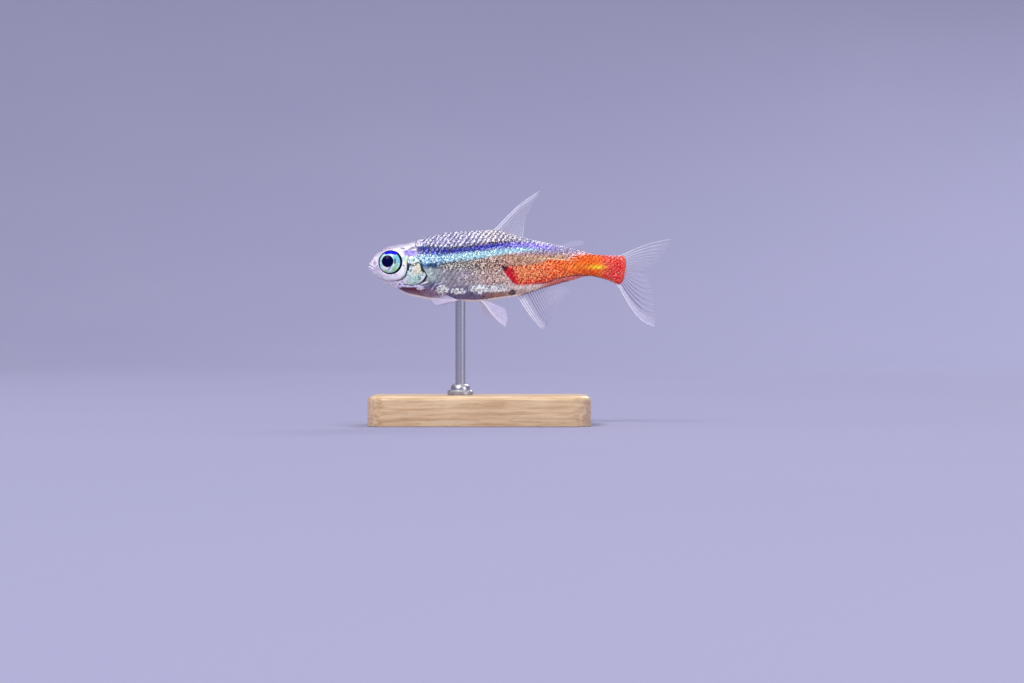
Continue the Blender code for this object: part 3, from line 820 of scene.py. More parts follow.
def head_colours(x, z, where, speck, ragged):
    """The pearly head: pink-white snout, white cheek, violet temple, white and plum gill rays."""
    cloud = where.noise(2.2, 4.0, 0.6)
    fine = where.noise(5.0, 3.0, 0.65)
    x, z = x + ragged * 0.5, z + (fine - 0.5) * 0.35
    top = x.line([(0.4, 0.35), (1.2, 1.05), (2.7, 1.52), (3.8, 1.78), (5.6, 2.4)])
    head = cloud.step(0.42, 0.62).mix(PEARL, screen(86, 82, 92))
    head.lay(fine.step(0.48, 0.6), WHITE)
    crowns = speck.ramp([(0.0, SLATE), (0.5, LILAC), (0.9, PALE_LILAC)])
    head.lay((z - top).step(-0.15, 0.3) * 0.85, crowns)
    head.lay(fine.step(0.42, 0.3) * 0.6, screen(70, 63, 74))
    nape = (x + ragged).step(3.9, 4.9) * z.step(1.45, 1.7) * speck.step(0.6, 0.35)
    head.lay(nape * 0.8, LILAC)
    mottle = fine.step(0.54, 0.44)
    smudges = strokes(x, z, [
        ((0.75, -0.95), (1.75, -1.52), 0.26, 0.7), ((1.6, 1.56), (3.0, 1.82), 0.13, 0.6),
        ((1.5, -1.12), (3.2, -1.2), 0.14, 0.35)])
    head.lay(mottle * smudges, screen(57, 53, 52))
    blush = patches(x, z, [((0.66, 0.18), (0.2, 0.34), 0.9, 0.7), ((0.92, -0.45), (0.4, 0.4), 0.9, 0.3)])
    head.lay(blush, screen(66, 48, 66))
    cheek = patches(x, z, [
        ((3.45, -0.75), (0.55, 0.85), 0.6, 0.9), ((2.4, -1.38), (1.1, 0.26), 0.8, 0.7)])
    head.lay(cheek * (0.6 + 0.4 * speck), WHITE)
    band = patches(x, z, [
        ((3.82, 0.42), (0.17, 0.62), 0.8, 0.75), ((3.72, -0.35), (0.13, 0.5), 0.9, 0.5)])
    head.lay(band, screen(84, 88, 60))
    head.lay(patch(x, z, (3.57, -0.07), (0.12, 0.13), 0.8) * 0.8, TEAL)
    head.lay(patch(x, z, (3.6, 0.62), (0.3, 0.34), 0.9) * 0.7, MINT)

    gill = x.between(4.02, 5.5, 0.08) * z.between(-2.0, 0.9, 0.12)
    head.lay(gill, gill_mints(speck))
    green = patches(x, z, [((4.14, 0.62), (0.16, 0.34), 0.8, 0.8), ((4.6, 0.62), (0.34, 0.16), 0.8, 0.6)])
    head.lay(green, screen(14, 48, 36))
    temple = (x + z * 0.15).between(3.8, 5.0, 0.22) * (z + ragged * 0.3).between(0.86, 1.44, 0.12)
    violet = fine.step(0.4, 0.6).mix(screen(40, 32, 78), screen(60, 50, 90))
    head.lay(temple * 0.95, violet)
    slate = strokes(x, z, [
        ((4.02, 1.5), (4.75, 1.76), 0.15, 0.75), ((3.22, 1.64), (3.68, 1.6), 0.12, 0.75),
        ((3.35, 1.3), (3.9, 1.12), 0.1, 0.4)])
    head.lay(slate, screen(22, 18, 42))
    streaks = strokes(x, z, [
        ((4.92, 1.05), (5.12, 0.35), 0.07, 0.9), ((4.66, 0.92), (4.8, 0.5), 0.06, 0.7)])
    head.lay(streaks, WHITE)

    gular = (z + (x - 3.0) * 0.12).step(-1.72, -1.8) * x.step(2.5, 2.9)
    knobs = speck.step(0.22, 0.45).mix(VIOLET, WHITE)
    head.lay(gular, knobs)
    plum = patches(x, z, [
        ((3.7, -1.98), (0.18, 0.14), 0.8, 0.9), ((3.15, -1.95), (0.12, 0.1), 0.8, 0.9),
        ((4.35, -2.04), (0.26, 0.1), 0.8, 0.7)])
    head.lay(plum, screen(30, 14, 45))
    return head, cloud


def scale_material():
    """Thin shining scales with the body's markings. On the back each has a slate root and rim.

    Its bright part is a painted highlight: a white streak that leans back towards its upper edge.
    """
    paint = Paint("shining_scales",
                  {"Coat Weight": 0.22, "Coat Roughness": 0.1, "Specular IOR Level": 0.25})
    colour, (back, stripe), (x, _, where, speck, ragged) = body_colours(paint)
    along, across, tone = paint.mark("along"), paint.mark("across"), paint.mark("tone")
    slant = along - across * 0.24 + ragged * 0.5 + (tone - 0.5) * 0.16
    # Painted highlight: a white streak across each scale of the back.
    streak = slant.between(0.6, 0.74, 0.1) * abs(across).step(0.95, 0.4)
    gap = (streak + speck * 0.5).step(0.65, 0.2)
    rearward = x.step(16.0, 12.0) * 0.6 + 0.22
    colour.lay(gap * back * rearward, SLATE)
    # The painted highlight goes on in white, stronger on some scales than on others.
    colour.lay(streak * back * (0.28 + tone * 0.5), WHITE)
    rim = (along + across * across * 0.3).step(0.9, 1.0)
    colour.lay(rim * 0.06, SLATE)
    colour = colour.scaled(tone * 0.22 + 0.92)
    paint.feed(base_color=colour, metallic=0.04 + stripe * 0.12, roughness=0.28 + where.noise(4.0) * 0.16)
    rings = (along * 50.0).sine()
    paint.relief(rings * 0.3 + where.noise(12.0, 2.0), 0.35, 2e-05)
    return paint.material


def gill_cover_material():
    """Silvery bone under thin skin: cream in the middle, mint round it, dark along its ridge, with painted
    shade in the groove there and in the notch.
    """
    paint = Paint("gill_plate_silver",
                  {"Coat Weight": 0.35, "Coat Roughness": 0.12, "Specular IOR Level": 0.4})
    x, _, z, where = paint.spot()
    cloud = where.noise(3.6, 4.0, 0.65)
    fine = where.noise(7.0, 3.0, 0.7)
    speck = where.specks(7.5)
    x, z = x + (cloud - 0.5) * 0.35, z + (fine - 0.5) * 0.35
    bone = (fine * 0.6 + cloud * 0.4).ramp([
        (0.36, screen(22, 34, 38)), (0.44, screen(50, 70, 68)), (0.51, screen(82, 93, 88)),
        (0.58, WHITE)])
    cream = patches(x, z, [
        ((5.0, -0.42), (0.52, 0.72), 0.7, 0.9), ((4.55, -0.85), (0.4, 0.45), 0.9, 0.5)])
    colour = cream.mix(bone, fine.step(0.38, 0.56).mix(screen(62, 62, 48), screen(98, 96, 84)))
    lower = patch(x, z, (4.6, -1.5), (0.9, 0.5), 0.8)
    colour.lay(lower * 0.4, speck.mix(screen(34, 62, 54), screen(82, 97, 88)))
    rear = patches(x, z, [((5.42, -0.85), (0.26, 0.55), 0.7, 0.8), ((5.15, -1.45), (0.3, 0.3), 0.8, 0.6)])
    colour.lay(rear * fine.step(0.52, 0.44), screen(20, 34, 32))
    colour.lay(z.step(0.12, 0.26), gill_mints(speck))
    green = patches(x, z, [
        ((4.5, 0.46), (0.34, 0.18), 0.8, 0.85), ((4.14, 0.5), (0.14, 0.32), 0.8, 0.85)])
    colour.lay(green, screen(14, 48, 36))
    colour.lay(patch(x, z, (4.56, 0.1), (0.3, 0.14), 0.7) * 0.9, CREAM)
    dark = patches(x, z, [
        ((4.05, -0.25), (0.17, 0.44), 0.6, 1.0), ((4.36, -0.52), (0.12, 0.14), 0.8, 0.6),
        ((5.42, -0.3), (0.14, 0.5), 0.8, 0.8)])
    colour.lay(dark, screen(2, 6, 24))
    toe = (x - z * 0.35).step(4.62, 4.36) * z.step(-1.15, -1.45)
    colour.lay(toe * 0.85, speck.mix(PALE_LILAC, WHITE))
    hook = trail(x, z, [
        (4.14, 0.06), (4.46, -0.13), (4.76, -0.04), (4.87, 0.13), (5.1, 0.18), (5.32, -0.06)], 0.085)
    colour.lay(hook, NIGHT)
    border = trail(x, z, [(5.16, 0.16), (5.32, -0.1), (5.44, -0.5), (5.62, -0.82)], 0.11)
    colour.lay(border * 0.9, NIGHT)
    edge = strokes(x, z, [
        ((5.7, -1.12), (5.18, -1.84), 0.12, 0.9), ((5.3, -0.9), (5.55, -1.15), 0.08, 0.5)])
    colour.lay(edge, WHITE)
    # Painted shade in the groove along the ridge and in the notch.
    colour.lay(paint.mark("fold"), NIGHT)
    paint.feed(base_color=colour, metallic=0.06, roughness=0.26 + cloud * 0.2)
    paint.relief(cloud + fine * 0.5, 0.6, 6e-05)
    return paint.material


def eye_material():
    """A navy pupil, a mint and turquoise iris, blue over the top, a dark rim behind and below, and painted
    shade over the back of the globe in its socket.
    """
    paint = Paint("wet_eye", {"Coat Weight": 0.03, "Coat Roughness": 0.03, "Specular IOR Level": 0.05})
    x, y, z, where = paint.spot()
    dx, dz = x - EYE_X, z - EYE_Z
    px, pz = x - PUPIL_X, z - PUPIL_Z
    from_middle, from_pupil = (dx * dx + dz * dz) ** 0.5, (px * px + pz * pz) ** 0.5
    cloud = where.noise(4.0, 4.0, 0.65)
    mottle = where.noise(6.5, 3.0, 0.7).step(0.48, 0.38)
    wavy = (cloud - 0.5) * 0.3
    iris = cloud.step(0.38, 0.6).mix(screen(50, 82, 80), screen(86, 97, 95))
    turquoise = patch(dx, dz, (0.72, 0.38), (0.6, 0.55), 0.7)
    iris.lay(turquoise * 0.8, screen(42, 80, 86))
    lower = patch(dx, dz, (-0.35, -0.58), (0.75, 0.42), 0.8)
    iris.lay(lower * 0.85, WHITE)
    green = patches(dx + wavy, dz, [
        ((0.42, -0.7), (0.34, 0.28), 0.9, 0.9), ((0.58, -0.3), (0.22, 0.38), 0.9, 0.6),
        ((-0.42, -0.84), (0.3, 0.17), 0.9, 0.8)])
    iris.lay(green * 0.9, screen(60, 88, 50))
    smudges = patches(dx, dz, [
        ((-1.0, 0.2), (0.32, 0.8), 0.9, 0.7), ((0.75, 0.1), (0.35, 0.7), 0.9, 0.5)])
    iris.lay(smudges * mottle, TEAL)
    leaf = patch(px + wavy * 0.4, pz, (0.72, 0.02), (0.12, 0.36), 0.8)
    iris.lay(leaf * 0.9, screen(3, 28, 30))
    seam = stroke(dx + wavy * 0.4, dz, (0.12, -0.36), (-0.22, -0.74), 0.1)
    iris.lay(seam * 0.8, screen(24, 26, 62))
    rim = (from_middle + dx * 0.1 - dz * 0.03 + wavy * 0.25).step(1.03, 1.09)
    iris.lay(rim, NIGHT)
    crescent = ((dx * dx + (dz + 0.2) * (dz + 0.2)) ** 0.5 + wavy * 0.15).step(1.0, 1.07)
    sliver = (from_middle + wavy * 0.3).step(1.04, 1.1) * dx.step(-0.2, -0.6) * dz.step(-0.6, -0.2)
    iris.lay(sliver, screen(5, 12, 36))
    iris.lay(crescent * (dz - abs(dx - 0.04) * 0.7).step(0.28, 0.52), screen(3, 2, 82))
    pale = abs(from_pupil - PUPIL_RADIUS - 0.05).step(0.07, 0.02)
    iris.lay(pale * (0.25 + mottle * 0.3), WHITE)
    iris.lay((from_pupil + wavy * 0.1).step(PUPIL_RADIUS + 0.03, PUPIL_RADIUS - 0.03), screen(0, 0, 22))
    # Painted shade over the back of the globe, which sits in its socket.
    iris.lay(y.step(EYE_Y - 0.05, EYE_Y - 0.2), NIGHT)
    paint.feed(base_color=iris, roughness=0.22 + cloud * 0.2)
    return paint.material


def ray_material():
    """Pale, half-clear fin rays, jointed along their length, some dusky, red where the tail ends."""
    paint = Paint("fin_rays", {"Specular IOR Level": 0.4})
    x, _, z, where = paint.spot()
    reach, lead, dusk = paint.mark("reach"), paint.mark("lead"), paint.mark("dusk")
    cloud = where.noise(3.0, 2.0)
    colour = (lead + cloud * 0.3).step(0.2, 0.8).mix(PALE_LILAC, WHITE)
    colour.lay(dusk, screen(30, 25, 46))
    joints = (reach * 150.0).sine()
    colour.lay(joints.step(0.6, 1.0) * 0.3, LILAC)
    flesh = (x + abs(z + 0.5) * 0.28 + cloud).step(26.7, 26.0) * x.step(24.0, 24.5)
    flesh = flesh * abs(z + 0.5).step(1.6, 1.2)
    colour.lay(flesh, RED)
    clear = 1.0 - reach.step(0.5, 1.0) * 0.4
    paint.feed(base_color=colour, roughness=0.3 + cloud * 0.15,
               alpha=(0.08 + lead * 0.88 + dusk * 0.6) * clear + flesh * 0.6)
    return paint.material


def membrane_material():
    """The clear film between the rays, with a line of painted shade behind each dusky ray."""
    paint = Paint("fin_film", {"Specular IOR Level": 0.2})
    where = paint.where()
    veil, web = paint.mark("veil"), paint.mark("web")
    cloud = where.noise(1.8, 3.0)
    # Mask of the painted shade line behind each dusky ray.
    dusky = web.step(0.4, 0.95)
    colour = dusky.mix(PALE_LILAC, screen(34, 30, 52))
    paint.feed(base_color=colour, roughness=0.3 + cloud * 0.1,
               alpha=veil * (0.6 + cloud * 0.8) + dusky * 0.3)
    return paint.material


def wood_material():
    """Pale satin wood: long wavering grain with fine dark pores."""
    paint = Paint("pale_wood", {"Coat Weight": 0.25, "Coat Roughness": 0.25})
    where = paint.where()
    stretched = where.mapped(stretch=(0.06, 1.0, 1.0))
    waver = stretched.noise(1.2, 3.0, 0.5)
    rings = stretched.noise(3.4, 4.0, 0.55)
    pores = stretched.noise(14.0, 2.0).step(0.6, 0.72)
    light, dark = screen(86, 74, 58), screen(72, 56, 38)
    colour = rings.step(0.35, 0.68).mix(light, dark)
    colour.lay(waver * 0.4, screen(90, 80, 66))
    colour.lay(pores * 0.5, screen(50, 36, 22))
    paint.feed(base_color=colour, roughness=0.42 + pores * 0.2)
    paint.relief(rings - pores * 0.5, 0.3, 4e-05)
    return paint.material


def steel_material():
    """Brushed steel, with its marks round the turned surface."""
    paint = Paint("brushed_steel", {"Metallic": 1.0})
    where = paint.where()
    stretched = where.mapped(stretch=(0.4, 0.4, 12.0))
    marks = stretched.noise(3.0, 3.0, 0.6)
    paint.feed(base_color=marks.mix(screen(66, 66, 68), screen(82, 82, 84)), roughness=0.24 + marks * 0.16)
    paint.relief(marks, 0.25, 1e-05)
    return paint.material


def studio_material():
    paint = Paint("pale_studio", {"Roughness": 0.9, "Specular IOR Level": 0.1})
    where = paint.where()
    cloud = where.noise(0.01, 2.0)
    paint.feed(base_color=(cloud * 0.5).mix(screen(56, 56, 68), screen(60, 59, 70)))
    return paint.material


# The skin

def head_relief(x, z, off):
    """Height of the head's details over its form, and how much painted shade lies in each crease.

    The mouth is a groove between two soft lips, the nostrils are pits with a rim, the cheek
    plates stand a little proud in front of their edge, and the gill opening is a hollow.
    """
    gape = z - smooth_line(GAPE, x)
    at_mouth = ease(x, 0.74, 0.45)
    slit = bell(gape, 0.035) * at_mouth
    height = -0.14 * slit + 0.04 * (bell(gape - 0.12, 0.07) + bell(gape + 0.12, 0.07)) * at_mouth
    fold = slit * 0.55
    lip = bell(distance_to_line(x, z, [(0.28, 0.3), (0.62, -0.15), (0.95, -0.75)]), 0.1)
    height += 0.03 * lip
    for hole_x, hole_z, size in ((0.62, 0.40, 0.045), (0.74, 0.22, 0.06)):
        near = np.hypot(x - hole_x, z - hole_z)
        height += 0.02 * bell(near - size * 1.5, 0.03) - 0.08 * bell(near, size)
        fold = np.maximum(fold, 0.5 * bell(near, size))
    edge = distance_to_line(x, z, PREOPERCLE)
    cheek = ease(edge, 0.0, 0.25) * ease(x, 3.95, 3.3) * ease(x, 1.3, 2.2) * ease(z, -1.75, -1.4)
    height += 0.06 * cheek - 0.05 * bell(edge, 0.05)
    fold = np.maximum(fold, bell(edge, 0.05) * (0.35 + 0.6 * ease(x, 2.0, 3.4)))
    cover = cover_share(x, z)
    shown = ease(z, 0.75, 0.2)
    height -= (0.05 + 0.09 * shown) * ease(cover, 1.14, 0.96)
    fold = np.maximum(fold, ease(cover, 1.1, 1.0) * ease(x, 3.4, 4.2) * (0.15 + 0.85 * shown))
    nape = distance_to_line(x, z, NAPE)
    height -= 0.06 * bell(nape, 0.07)
    fold = np.maximum(fold, 0.8 * bell(nape, 0.07))
    height += 0.05 * bell(np.hypot((x - 4.3) / 0.35, (z - 2.05) / 0.3), 1.0)
    throat = np.abs(np.sin((x * 0.8 + z) * 9.0)) * ease(z, -1.9, -2.3) * ease(x, 4.6, 4.0)
    height -= 0.02 * throat * ease(x, 1.6, 2.4)
    knobs = np.sin(x * 13.0) * bell(z + 1.88 + (x - 3.0) * 0.05, 0.14) * ease(x, 2.3, 2.8)
    height += 0.02 * knobs * ease(x, 4.4, 4.0)
    ripple = np.sin(x * 7.3 + z * 4.1) * np.sin(z * 6.7 - x * 2.9)
    height += 0.008 * ripple * ease(x, 0.6, 1.2) * ease(x, 5.0, 4.4)
    return height, fold * ease(off, 0.0, 0.05)


def cover_share(x, z):
    """Distance from the gill cover's middle, as a share of the way to its edge."""
    ring = closed_curve(GILL_COVER, 96) - GILL_COVER_CENTRE
    angles = np.arctan2(ring[:, 1], ring[:, 0])
    order = np.argsort(angles)
    dx, dz = x - GILL_COVER_CENTRE[0], z - GILL_COVER_CENTRE[1]
    edge = np.interp(np.arctan2(dz, dx), angles[order], np.hypot(*ring.T)[order], period=2 * pi)
    return np.hypot(dx, dz) / edge


def build_skin(material):
    """The skin as rings from a nose dome to a tail dome, closer together on the head.

    The eye sockets are cups: inside their circle the skin draws in towards the middle plane, and
    a soft rim round them is drawn out to meet the eye.
    """
    stations, nose, tail, around = 320, 8, 10, 264
    t = np.linspace(0, 1, stations)
    x = BODY_END * (0.35 * t + 0.65 * t ** 1.9)
    dome = np.sin(np.arange(1, nose) / nose * pi / 2)
    last = np.arange(1, tail) / tail * pi / 2
    rows_x = np.concatenate([np.zeros(nose - 1), x, np.full(tail - 1, BODY_END)])
    shrink = np.concatenate([dome, np.ones(stations), np.cos(last) ** 0.6])
    shift = np.concatenate([-NOSE_DOME * np.sqrt(1 - dome ** 2), np.zeros(stations),
                            TAIL_DOME * np.sin(last)])
    inset = HEAD_INSET + (COAT_DEPTH - HEAD_INSET) * ease(rows_x, 4.3, 5.2)
    rings = body_point(rows_x[:, None], round_angles(around), inset[:, None], shrink[:, None],
                       shift[:, None])
    x_now, y_now, z_now = np.moveaxis(rings, -1, 0)
    height, fold = head_relief(x_now, z_now, np.abs(y_now))
    height += 0.012 * np.sin(x_now * 5.0) * np.sin(z_now * 4.0 + x_now) * ease(x_now, 6.0, 8.0)
    rings = rings + grid_normals(rings) * height[..., None]

    x_now, y_now, z_now = np.moveaxis(rings, -1, 0)
    off = np.abs(y_now)
    side = np.where(off > 1e-6, np.sign(y_now), 0) * ease(off, 0, 0.02)
    reach = np.hypot(x_now - EYE_X, z_now - EYE_Z)
    rim = bell(np.maximum(reach - EYE_RADIUS - 0.02, 0), 0.2)
    off = off + np.maximum(EYE_Y + SOCKET_RIM - off, 0) * rim
    cup = ease(reach, EYE_RADIUS + 0.06, EYE_RADIUS - 0.03)
    rings[..., 1] = side * (off * (1 - cup) + SOCKET_FLOOR * cup)
    # Painted shade in the crease round each eye socket, deepest behind and below the eye.
    under = ease(x_now - z_now, EYE_X - EYE_Z - 0.6, EYE_X - EYE_Z + 0.6)
    fold = np.maximum(fold, ease(reach, EYE_RADIUS + 0.05, EYE_RADIUS) * (0.3 + 0.7 * under))

    ends = [rings[0].mean(axis=0) - (0.01, 0, 0), rings[-1].mean(axis=0) + (0.02, 0, 0)]
    points, faces = closed_rings(rings, ends)
    count = rings[..., 0].size
    along = np.concatenate([np.linspace(0.002, 0.009, nose - 1), bake_along(x),
                            np.linspace(0.982, 0.998, tail - 1)])

    def bake(corners):
        row, column = np.divmod(corners, around)
        over = corners >= count
        u = np.where(over, corners - count, along[np.minimum(row, len(rings) - 1)])
        v = np.where(over, 0.5, column / around)
        return seam_safe(np.stack([u, v], axis=-1), over, faces[0].size)

    make_piece("skin", place(*points.T), faces, material,
               ("head", "lower_jaw", "trunk", "tail_stalk"),
               {"fold": np.concatenate([fold.ravel(), [0, 0]])}, bake)


def bake_along(x):
    return 0.01 + 0.97 * x / BODY_END


def seam_safe(spots, over, quads):
    """Moves the corners that lie across the seam to the far side of the unwrap."""
    for start, stop, size in ((0, quads, 4), (quads, len(spots), 3)):
        v = spots[start:stop, 1].reshape(-1, size)
        pole = over[start:stop].reshape(-1, size)
        top = np.where(pole, 0, v).max(axis=1, keepdims=True)
        v += (v < 0.25) & (top > 0.75) & ~pole
        spots[start:stop, 1] = v.ravel()
    return spots


# The scales

LATERAL_LINE = [(4.2, 0.3), (10.0, 0.45), (15.0, 0.55), (20.0, 0.3), (25.2, -0.45)]
ROW_HEIGHT = [(4.2, 0.36), (9.0, 0.4), (13.0, 0.39), (16.0, 0.35), (20.0, 0.28), (25.2, 0.21)]
SCALE_FRONT = [(-3.6, 5.4), (-2.6, 5.3), (-1.9, 5.35), (-1.2, 5.72), (-0.5, 5.45), (0.3, 5.15),
               (1.0, 4.85), (1.8, 4.72), (2.3, 4.6), (2.8, 4.45), (3.6, 4.4)]
SCALE_COLUMNS = 44
SCALE_THICKNESS = 0.022
# Where the columns start, how far they run and where they end, and how much they close up
SCALES_START, SCALES_RUN, SCALES_END = 4.6, 20.7, 24.9
SCALES_CLOSING = 0.12


class Flank:
    """The skin under the scales, by the distance along the fish and round it from its side line."""

    def __init__(self):
        self.x = np.linspace(4.2, BODY_END, 320)
        angle = np.linspace(0, pi, 361)
        points = body_point(self.x[:, None], angle[None, :], COAT_DEPTH)
        arc = np.linalg.norm(np.diff(points, axis=1), axis=-1).cumsum(axis=1)
        arc = np.concatenate([np.zeros((len(self.x), 1)), arc], axis=1)
        side_line = smooth_line(LATERAL_LINE, self.x)
        self.top = np.array([np.interp(-level, -row[:, 2], run)
                             for level, row, run in zip(side_line, points, arc)])
        self.foot = arc[:, -1] - self.top
        self.s = np.linspace(-8, 8, 641)
        self.angle = np.array([self.turn(top, run, angle) for top, run in zip(self.top, arc)])

    def turn(self, top, run, angle):
        """Section angle for each distance round, going on over the back and under the belly."""
        down = top - self.s
        turned = np.interp(np.abs(down), run, angle) * np.sign(down)
        past = down > run[-1]
        return np.where(past, 2 * pi - np.interp(2 * run[-1] - down, run, angle), turned)

    def reach(self, x, way):
        """Distance from the side line up to the back, or for way -1 down to the belly, below 0."""
        return np.interp(x, self.x, self.top) if way > 0 else -np.interp(x, self.x, self.foot)

    def look(self, x, s):
        """Point and outward direction of the skin there, on the right side."""
        i = np.clip((x - self.x[0]) / (self.x[1] - self.x[0]), 0, len(self.x) - 1.001)
        j = np.clip((s - self.s[0]) / (self.s[1] - self.s[0]), 0, len(self.s) - 1.001)
        a, b = i.astype(int), j.astype(int)
        f, g = i - a, j - b
        angle = ((1 - f) * ((1 - g) * self.angle[a, b] + g * self.angle[a, b + 1])
                 + f * ((1 - g) * self.angle[a + 1, b] + g * self.angle[a + 1, b + 1]))
        here = body_point(x, angle, COAT_DEPTH)
        step = 0.01
        along = body_point(x + step, angle, COAT_DEPTH) - body_point(x - step, angle, COAT_DEPTH)
        across = body_point(x, angle + step, COAT_DEPTH) - body_point(x, angle - step, COAT_DEPTH)
        normal = np.cross(along, across)
        return here, normal / np.linalg.norm(normal, axis=-1, keepdims=True), angle


def scale_x(share):
    """Where a scale grows, by its share of the way along a row. The columns close up to the rear."""
    return SCALES_START + SCALES_RUN * share * (1 + SCALES_CLOSING * (1 - share))


def scale_roots(flank):
    """Where the scales of one side grow: rows along the side line, every other one half a step on.

    Returns x, distance round the body, and 1 for a row that straddles the back or the belly.
    """
    roots = []
    for row in range(-16, 17):
        x = scale_x((np.arange(SCALE_COLUMNS) + 0.5 * (row % 2)) / SCALE_COLUMNS)
        height = smooth_line(ROW_HEIGHT, x)
        s = row * height
        kept = (s < flank.reach(x, 1) - 0.3 * height) & (s > flank.reach(x, -1) + 0.3 * height)
        roots.append(np.stack([x, s, 0 * x], axis=-1)[kept])
    x = scale_x((np.arange(SCALE_COLUMNS) + 0.25) / SCALE_COLUMNS)
    for way in (1, -1):
        roots.append(np.stack([x, flank.reach(x, way), 0 * x + 1], axis=-1))
    roots = np.concatenate(roots)
    front = smooth_line(SCALE_FRONT, flank.look(roots[:, 0], roots[:, 1])[0][:, 2])
    return roots[(roots[:, 0] > front) & (roots[:, 0] < SCALES_END)]


def build_scales(material, flank, side, word):
    """Overlapping plates, each a curved grid with a round rear edge and an underside.

    A plate's points lie along and across the skin, lifted off it more and more towards the free
    edge. Its thickness goes inwards, and its rim joins the two sides.
    """
    rng = np.random.default_rng(7 if side < 0 else 11)
    roots = scale_roots(flank)
    roots = roots[(roots[:, 2] < 1) | (side < 0)]
    steps, across = 5, 7
    a = np.linspace(0, 1, steps)[:, None]
    b = np.linspace(-1, 1, across)[None, :]
    count = len(roots)
    tone = rng.random(count)[:, None, None]
    root_x, root_s, middle_row = roots.T[..., None, None]
    passed = (root_x - SCALES_START) / SCALES_RUN
    pitch = SCALES_RUN / SCALE_COLUMNS * (1 + SCALES_CLOSING * (1 - 2 * passed))
    length = pitch * (1.62 + 0.12 * (rng.random(count)[:, None, None] - 0.5))
    height = smooth_line(ROW_HEIGHT, root_x)
    shift = (rng.random((2, count, 1, 1)) - 0.5) * (middle_row == 0)
    x = root_x + 0.1 * shift[0] + length * a * (1 - 0.3 * np.abs(b) ** 2.2)
    x = np.minimum(x, BODY_END - 0.02)
    spread = 0.92 * height * (0.62 + 0.38 * np.sin(np.minimum(a / 0.5, 1) * pi / 2))
    edge = np.where(root_s > 0, flank.reach(x, 1), flank.reach(x, -1))
    centre = np.where(middle_row > 0, edge, root_s / height * smooth_line(ROW_HEIGHT, x))
    s = centre + b * spread + 0.06 * shift[1]
    s = np.where(middle_row > 0, s, np.clip(s, flank.reach(x, -1), flank.reach(x, 1)))
    here, normal = flank.look(x, s)[:2]
    lift = -0.02 + 0.05 * a + 0.014 * (tone - 0.5) * a - 0.008 * b ** 2 + 0.006 * middle_row
    deep = lift - SCALE_THICKNESS * (0.6 + 0.4 * (1 - a))
    points, plate = thin_sheet(*((here + normal * off[..., None]) * (1, side, 1) for off in (lift, deep)))
    if side < 0:
        plate = plate[:, ::-1]
    each = 2 * steps * across
    faces = (plate[None] + np.arange(count)[:, None, None] * each).reshape(-1, 4)

    def every(values):
        values = np.broadcast_to(values, (count, steps, across)).reshape(count, 1, -1)
        return np.repeat(values, 2, axis=1).ravel()

    v = flank.look(root_x, root_s)[2] / (2 * pi)
    u = every(bake_along(root_x) + 0.003 * (a - 0.5))
    v = every(np.clip(v if side > 0 else 1 - v, 0.002, 0.998) + 0.0015 * b)
    make_piece(f"scales_{word}", place(*points.reshape(-1, 3).T), [faces], material, (),
               {"along": every(a), "across": every(b), "tone": every(tone)},
               lambda corners: np.stack([u, v], axis=-1)[corners])


# Gill covers and eyes

def build_gill_cover(material, side, word):
    """A thin plate over the gill opening, bent with the cheek, standing off at its free edge.

    Its grid runs from the middle out to the round rim and back to the middle underneath.
    """
    around, rings = 120, 26
    ring = closed_curve(GILL_COVER, around)
    share = np.linspace(0, 1, rings)[1:]
    out = np.concatenate([share, share[-2::-1]])
    outside = np.concatenate([np.ones(rings - 1), -np.ones(rings - 2)])[:, None]
    centre = np.array(GILL_COVER_CENTRE)
    x, z = np.moveaxis(centre + out[:, None, None] * (ring - centre), -1, 0)
    swell = GILL_COVER_HALF * np.sqrt(1 - out[:, None] ** 8)
    lift = -0.03 + 0.05 * ease(x, 3.8, 5.5) - 0.02 * ease(z, 0.1, 0.6)
    ridge = bell(distance_to_line(x, z, [(4.0, 0.1), (4.3, -0.05), (4.65, 0.05), (4.95, 0.2)]), 0.05)
    notch = bell(np.hypot(x - 4.15, z + 0.15), 0.16)
    waves = 0.006 * np.sin(np.arctan2(z - centre[1], x - centre[0]) * 16) * out[:, None]
    detail = np.where(outside > 0, waves - 0.03 * ridge - 0.03 * notch, 0)
    y = flank_reach(x, z) + lift + outside * swell + detail
    middle_y = flank_reach(*centre) + lift[0].mean()
    ends = [(centre[0], side * (middle_y + way * GILL_COVER_HALF), centre[1]) for way in (1, -1)]
    points, faces = closed_rings(np.stack([x, side * y, z], axis=-1), ends, side < 0)
    # Painted shade for the groove along the ridge and for the notch.
    fold = np.maximum(0.9 * ridge, 0.8 * notch) * (outside > 0)
    make_piece(f"gill_plate_{word}", place(*points.T), faces, material,
               (f"gill_cover_{word}",), {"fold": np.concatenate([fold.ravel(), [0, 0]])})


def build_eye(material, side, word):
    """A flattened globe whose lens bulges through the pupil and whose iris dips round it."""
    around, rows = 96, 64
    turn = ((np.arange(rows) + 0.5) / rows * pi)[:, None]
    angle = round_angles(around)
    out = EYE_RADIUS * np.sin(turn)
    x, z = EYE_X + out * np.cos(angle), EYE_Z + out * np.sin(angle)
    from_pupil = np.hypot(x - PUPIL_X, z - PUPIL_Z)
    lens = 0.035 * ease(from_pupil, PUPIL_RADIUS, 0.2) - 0.015 * bell(from_pupil - 0.68, 0.06)
    y = EYE_Y + EYE_HALF_DEPTH * np.cos(turn) + np.where(np.cos(turn) > 0, lens, 0)
    ends = [(EYE_X, side * (EYE_Y + EYE_HALF_DEPTH + 0.03), EYE_Z),
            (EYE_X, side * (EYE_Y - EYE_HALF_DEPTH), EYE_Z)]
    points, faces = closed_rings(np.stack([x, side * y, z], axis=-1), ends, side < 0)
    make_piece(f"eyeball_{word}", place(*points.T), faces, material, (f"eye_{word}",))


# Fins

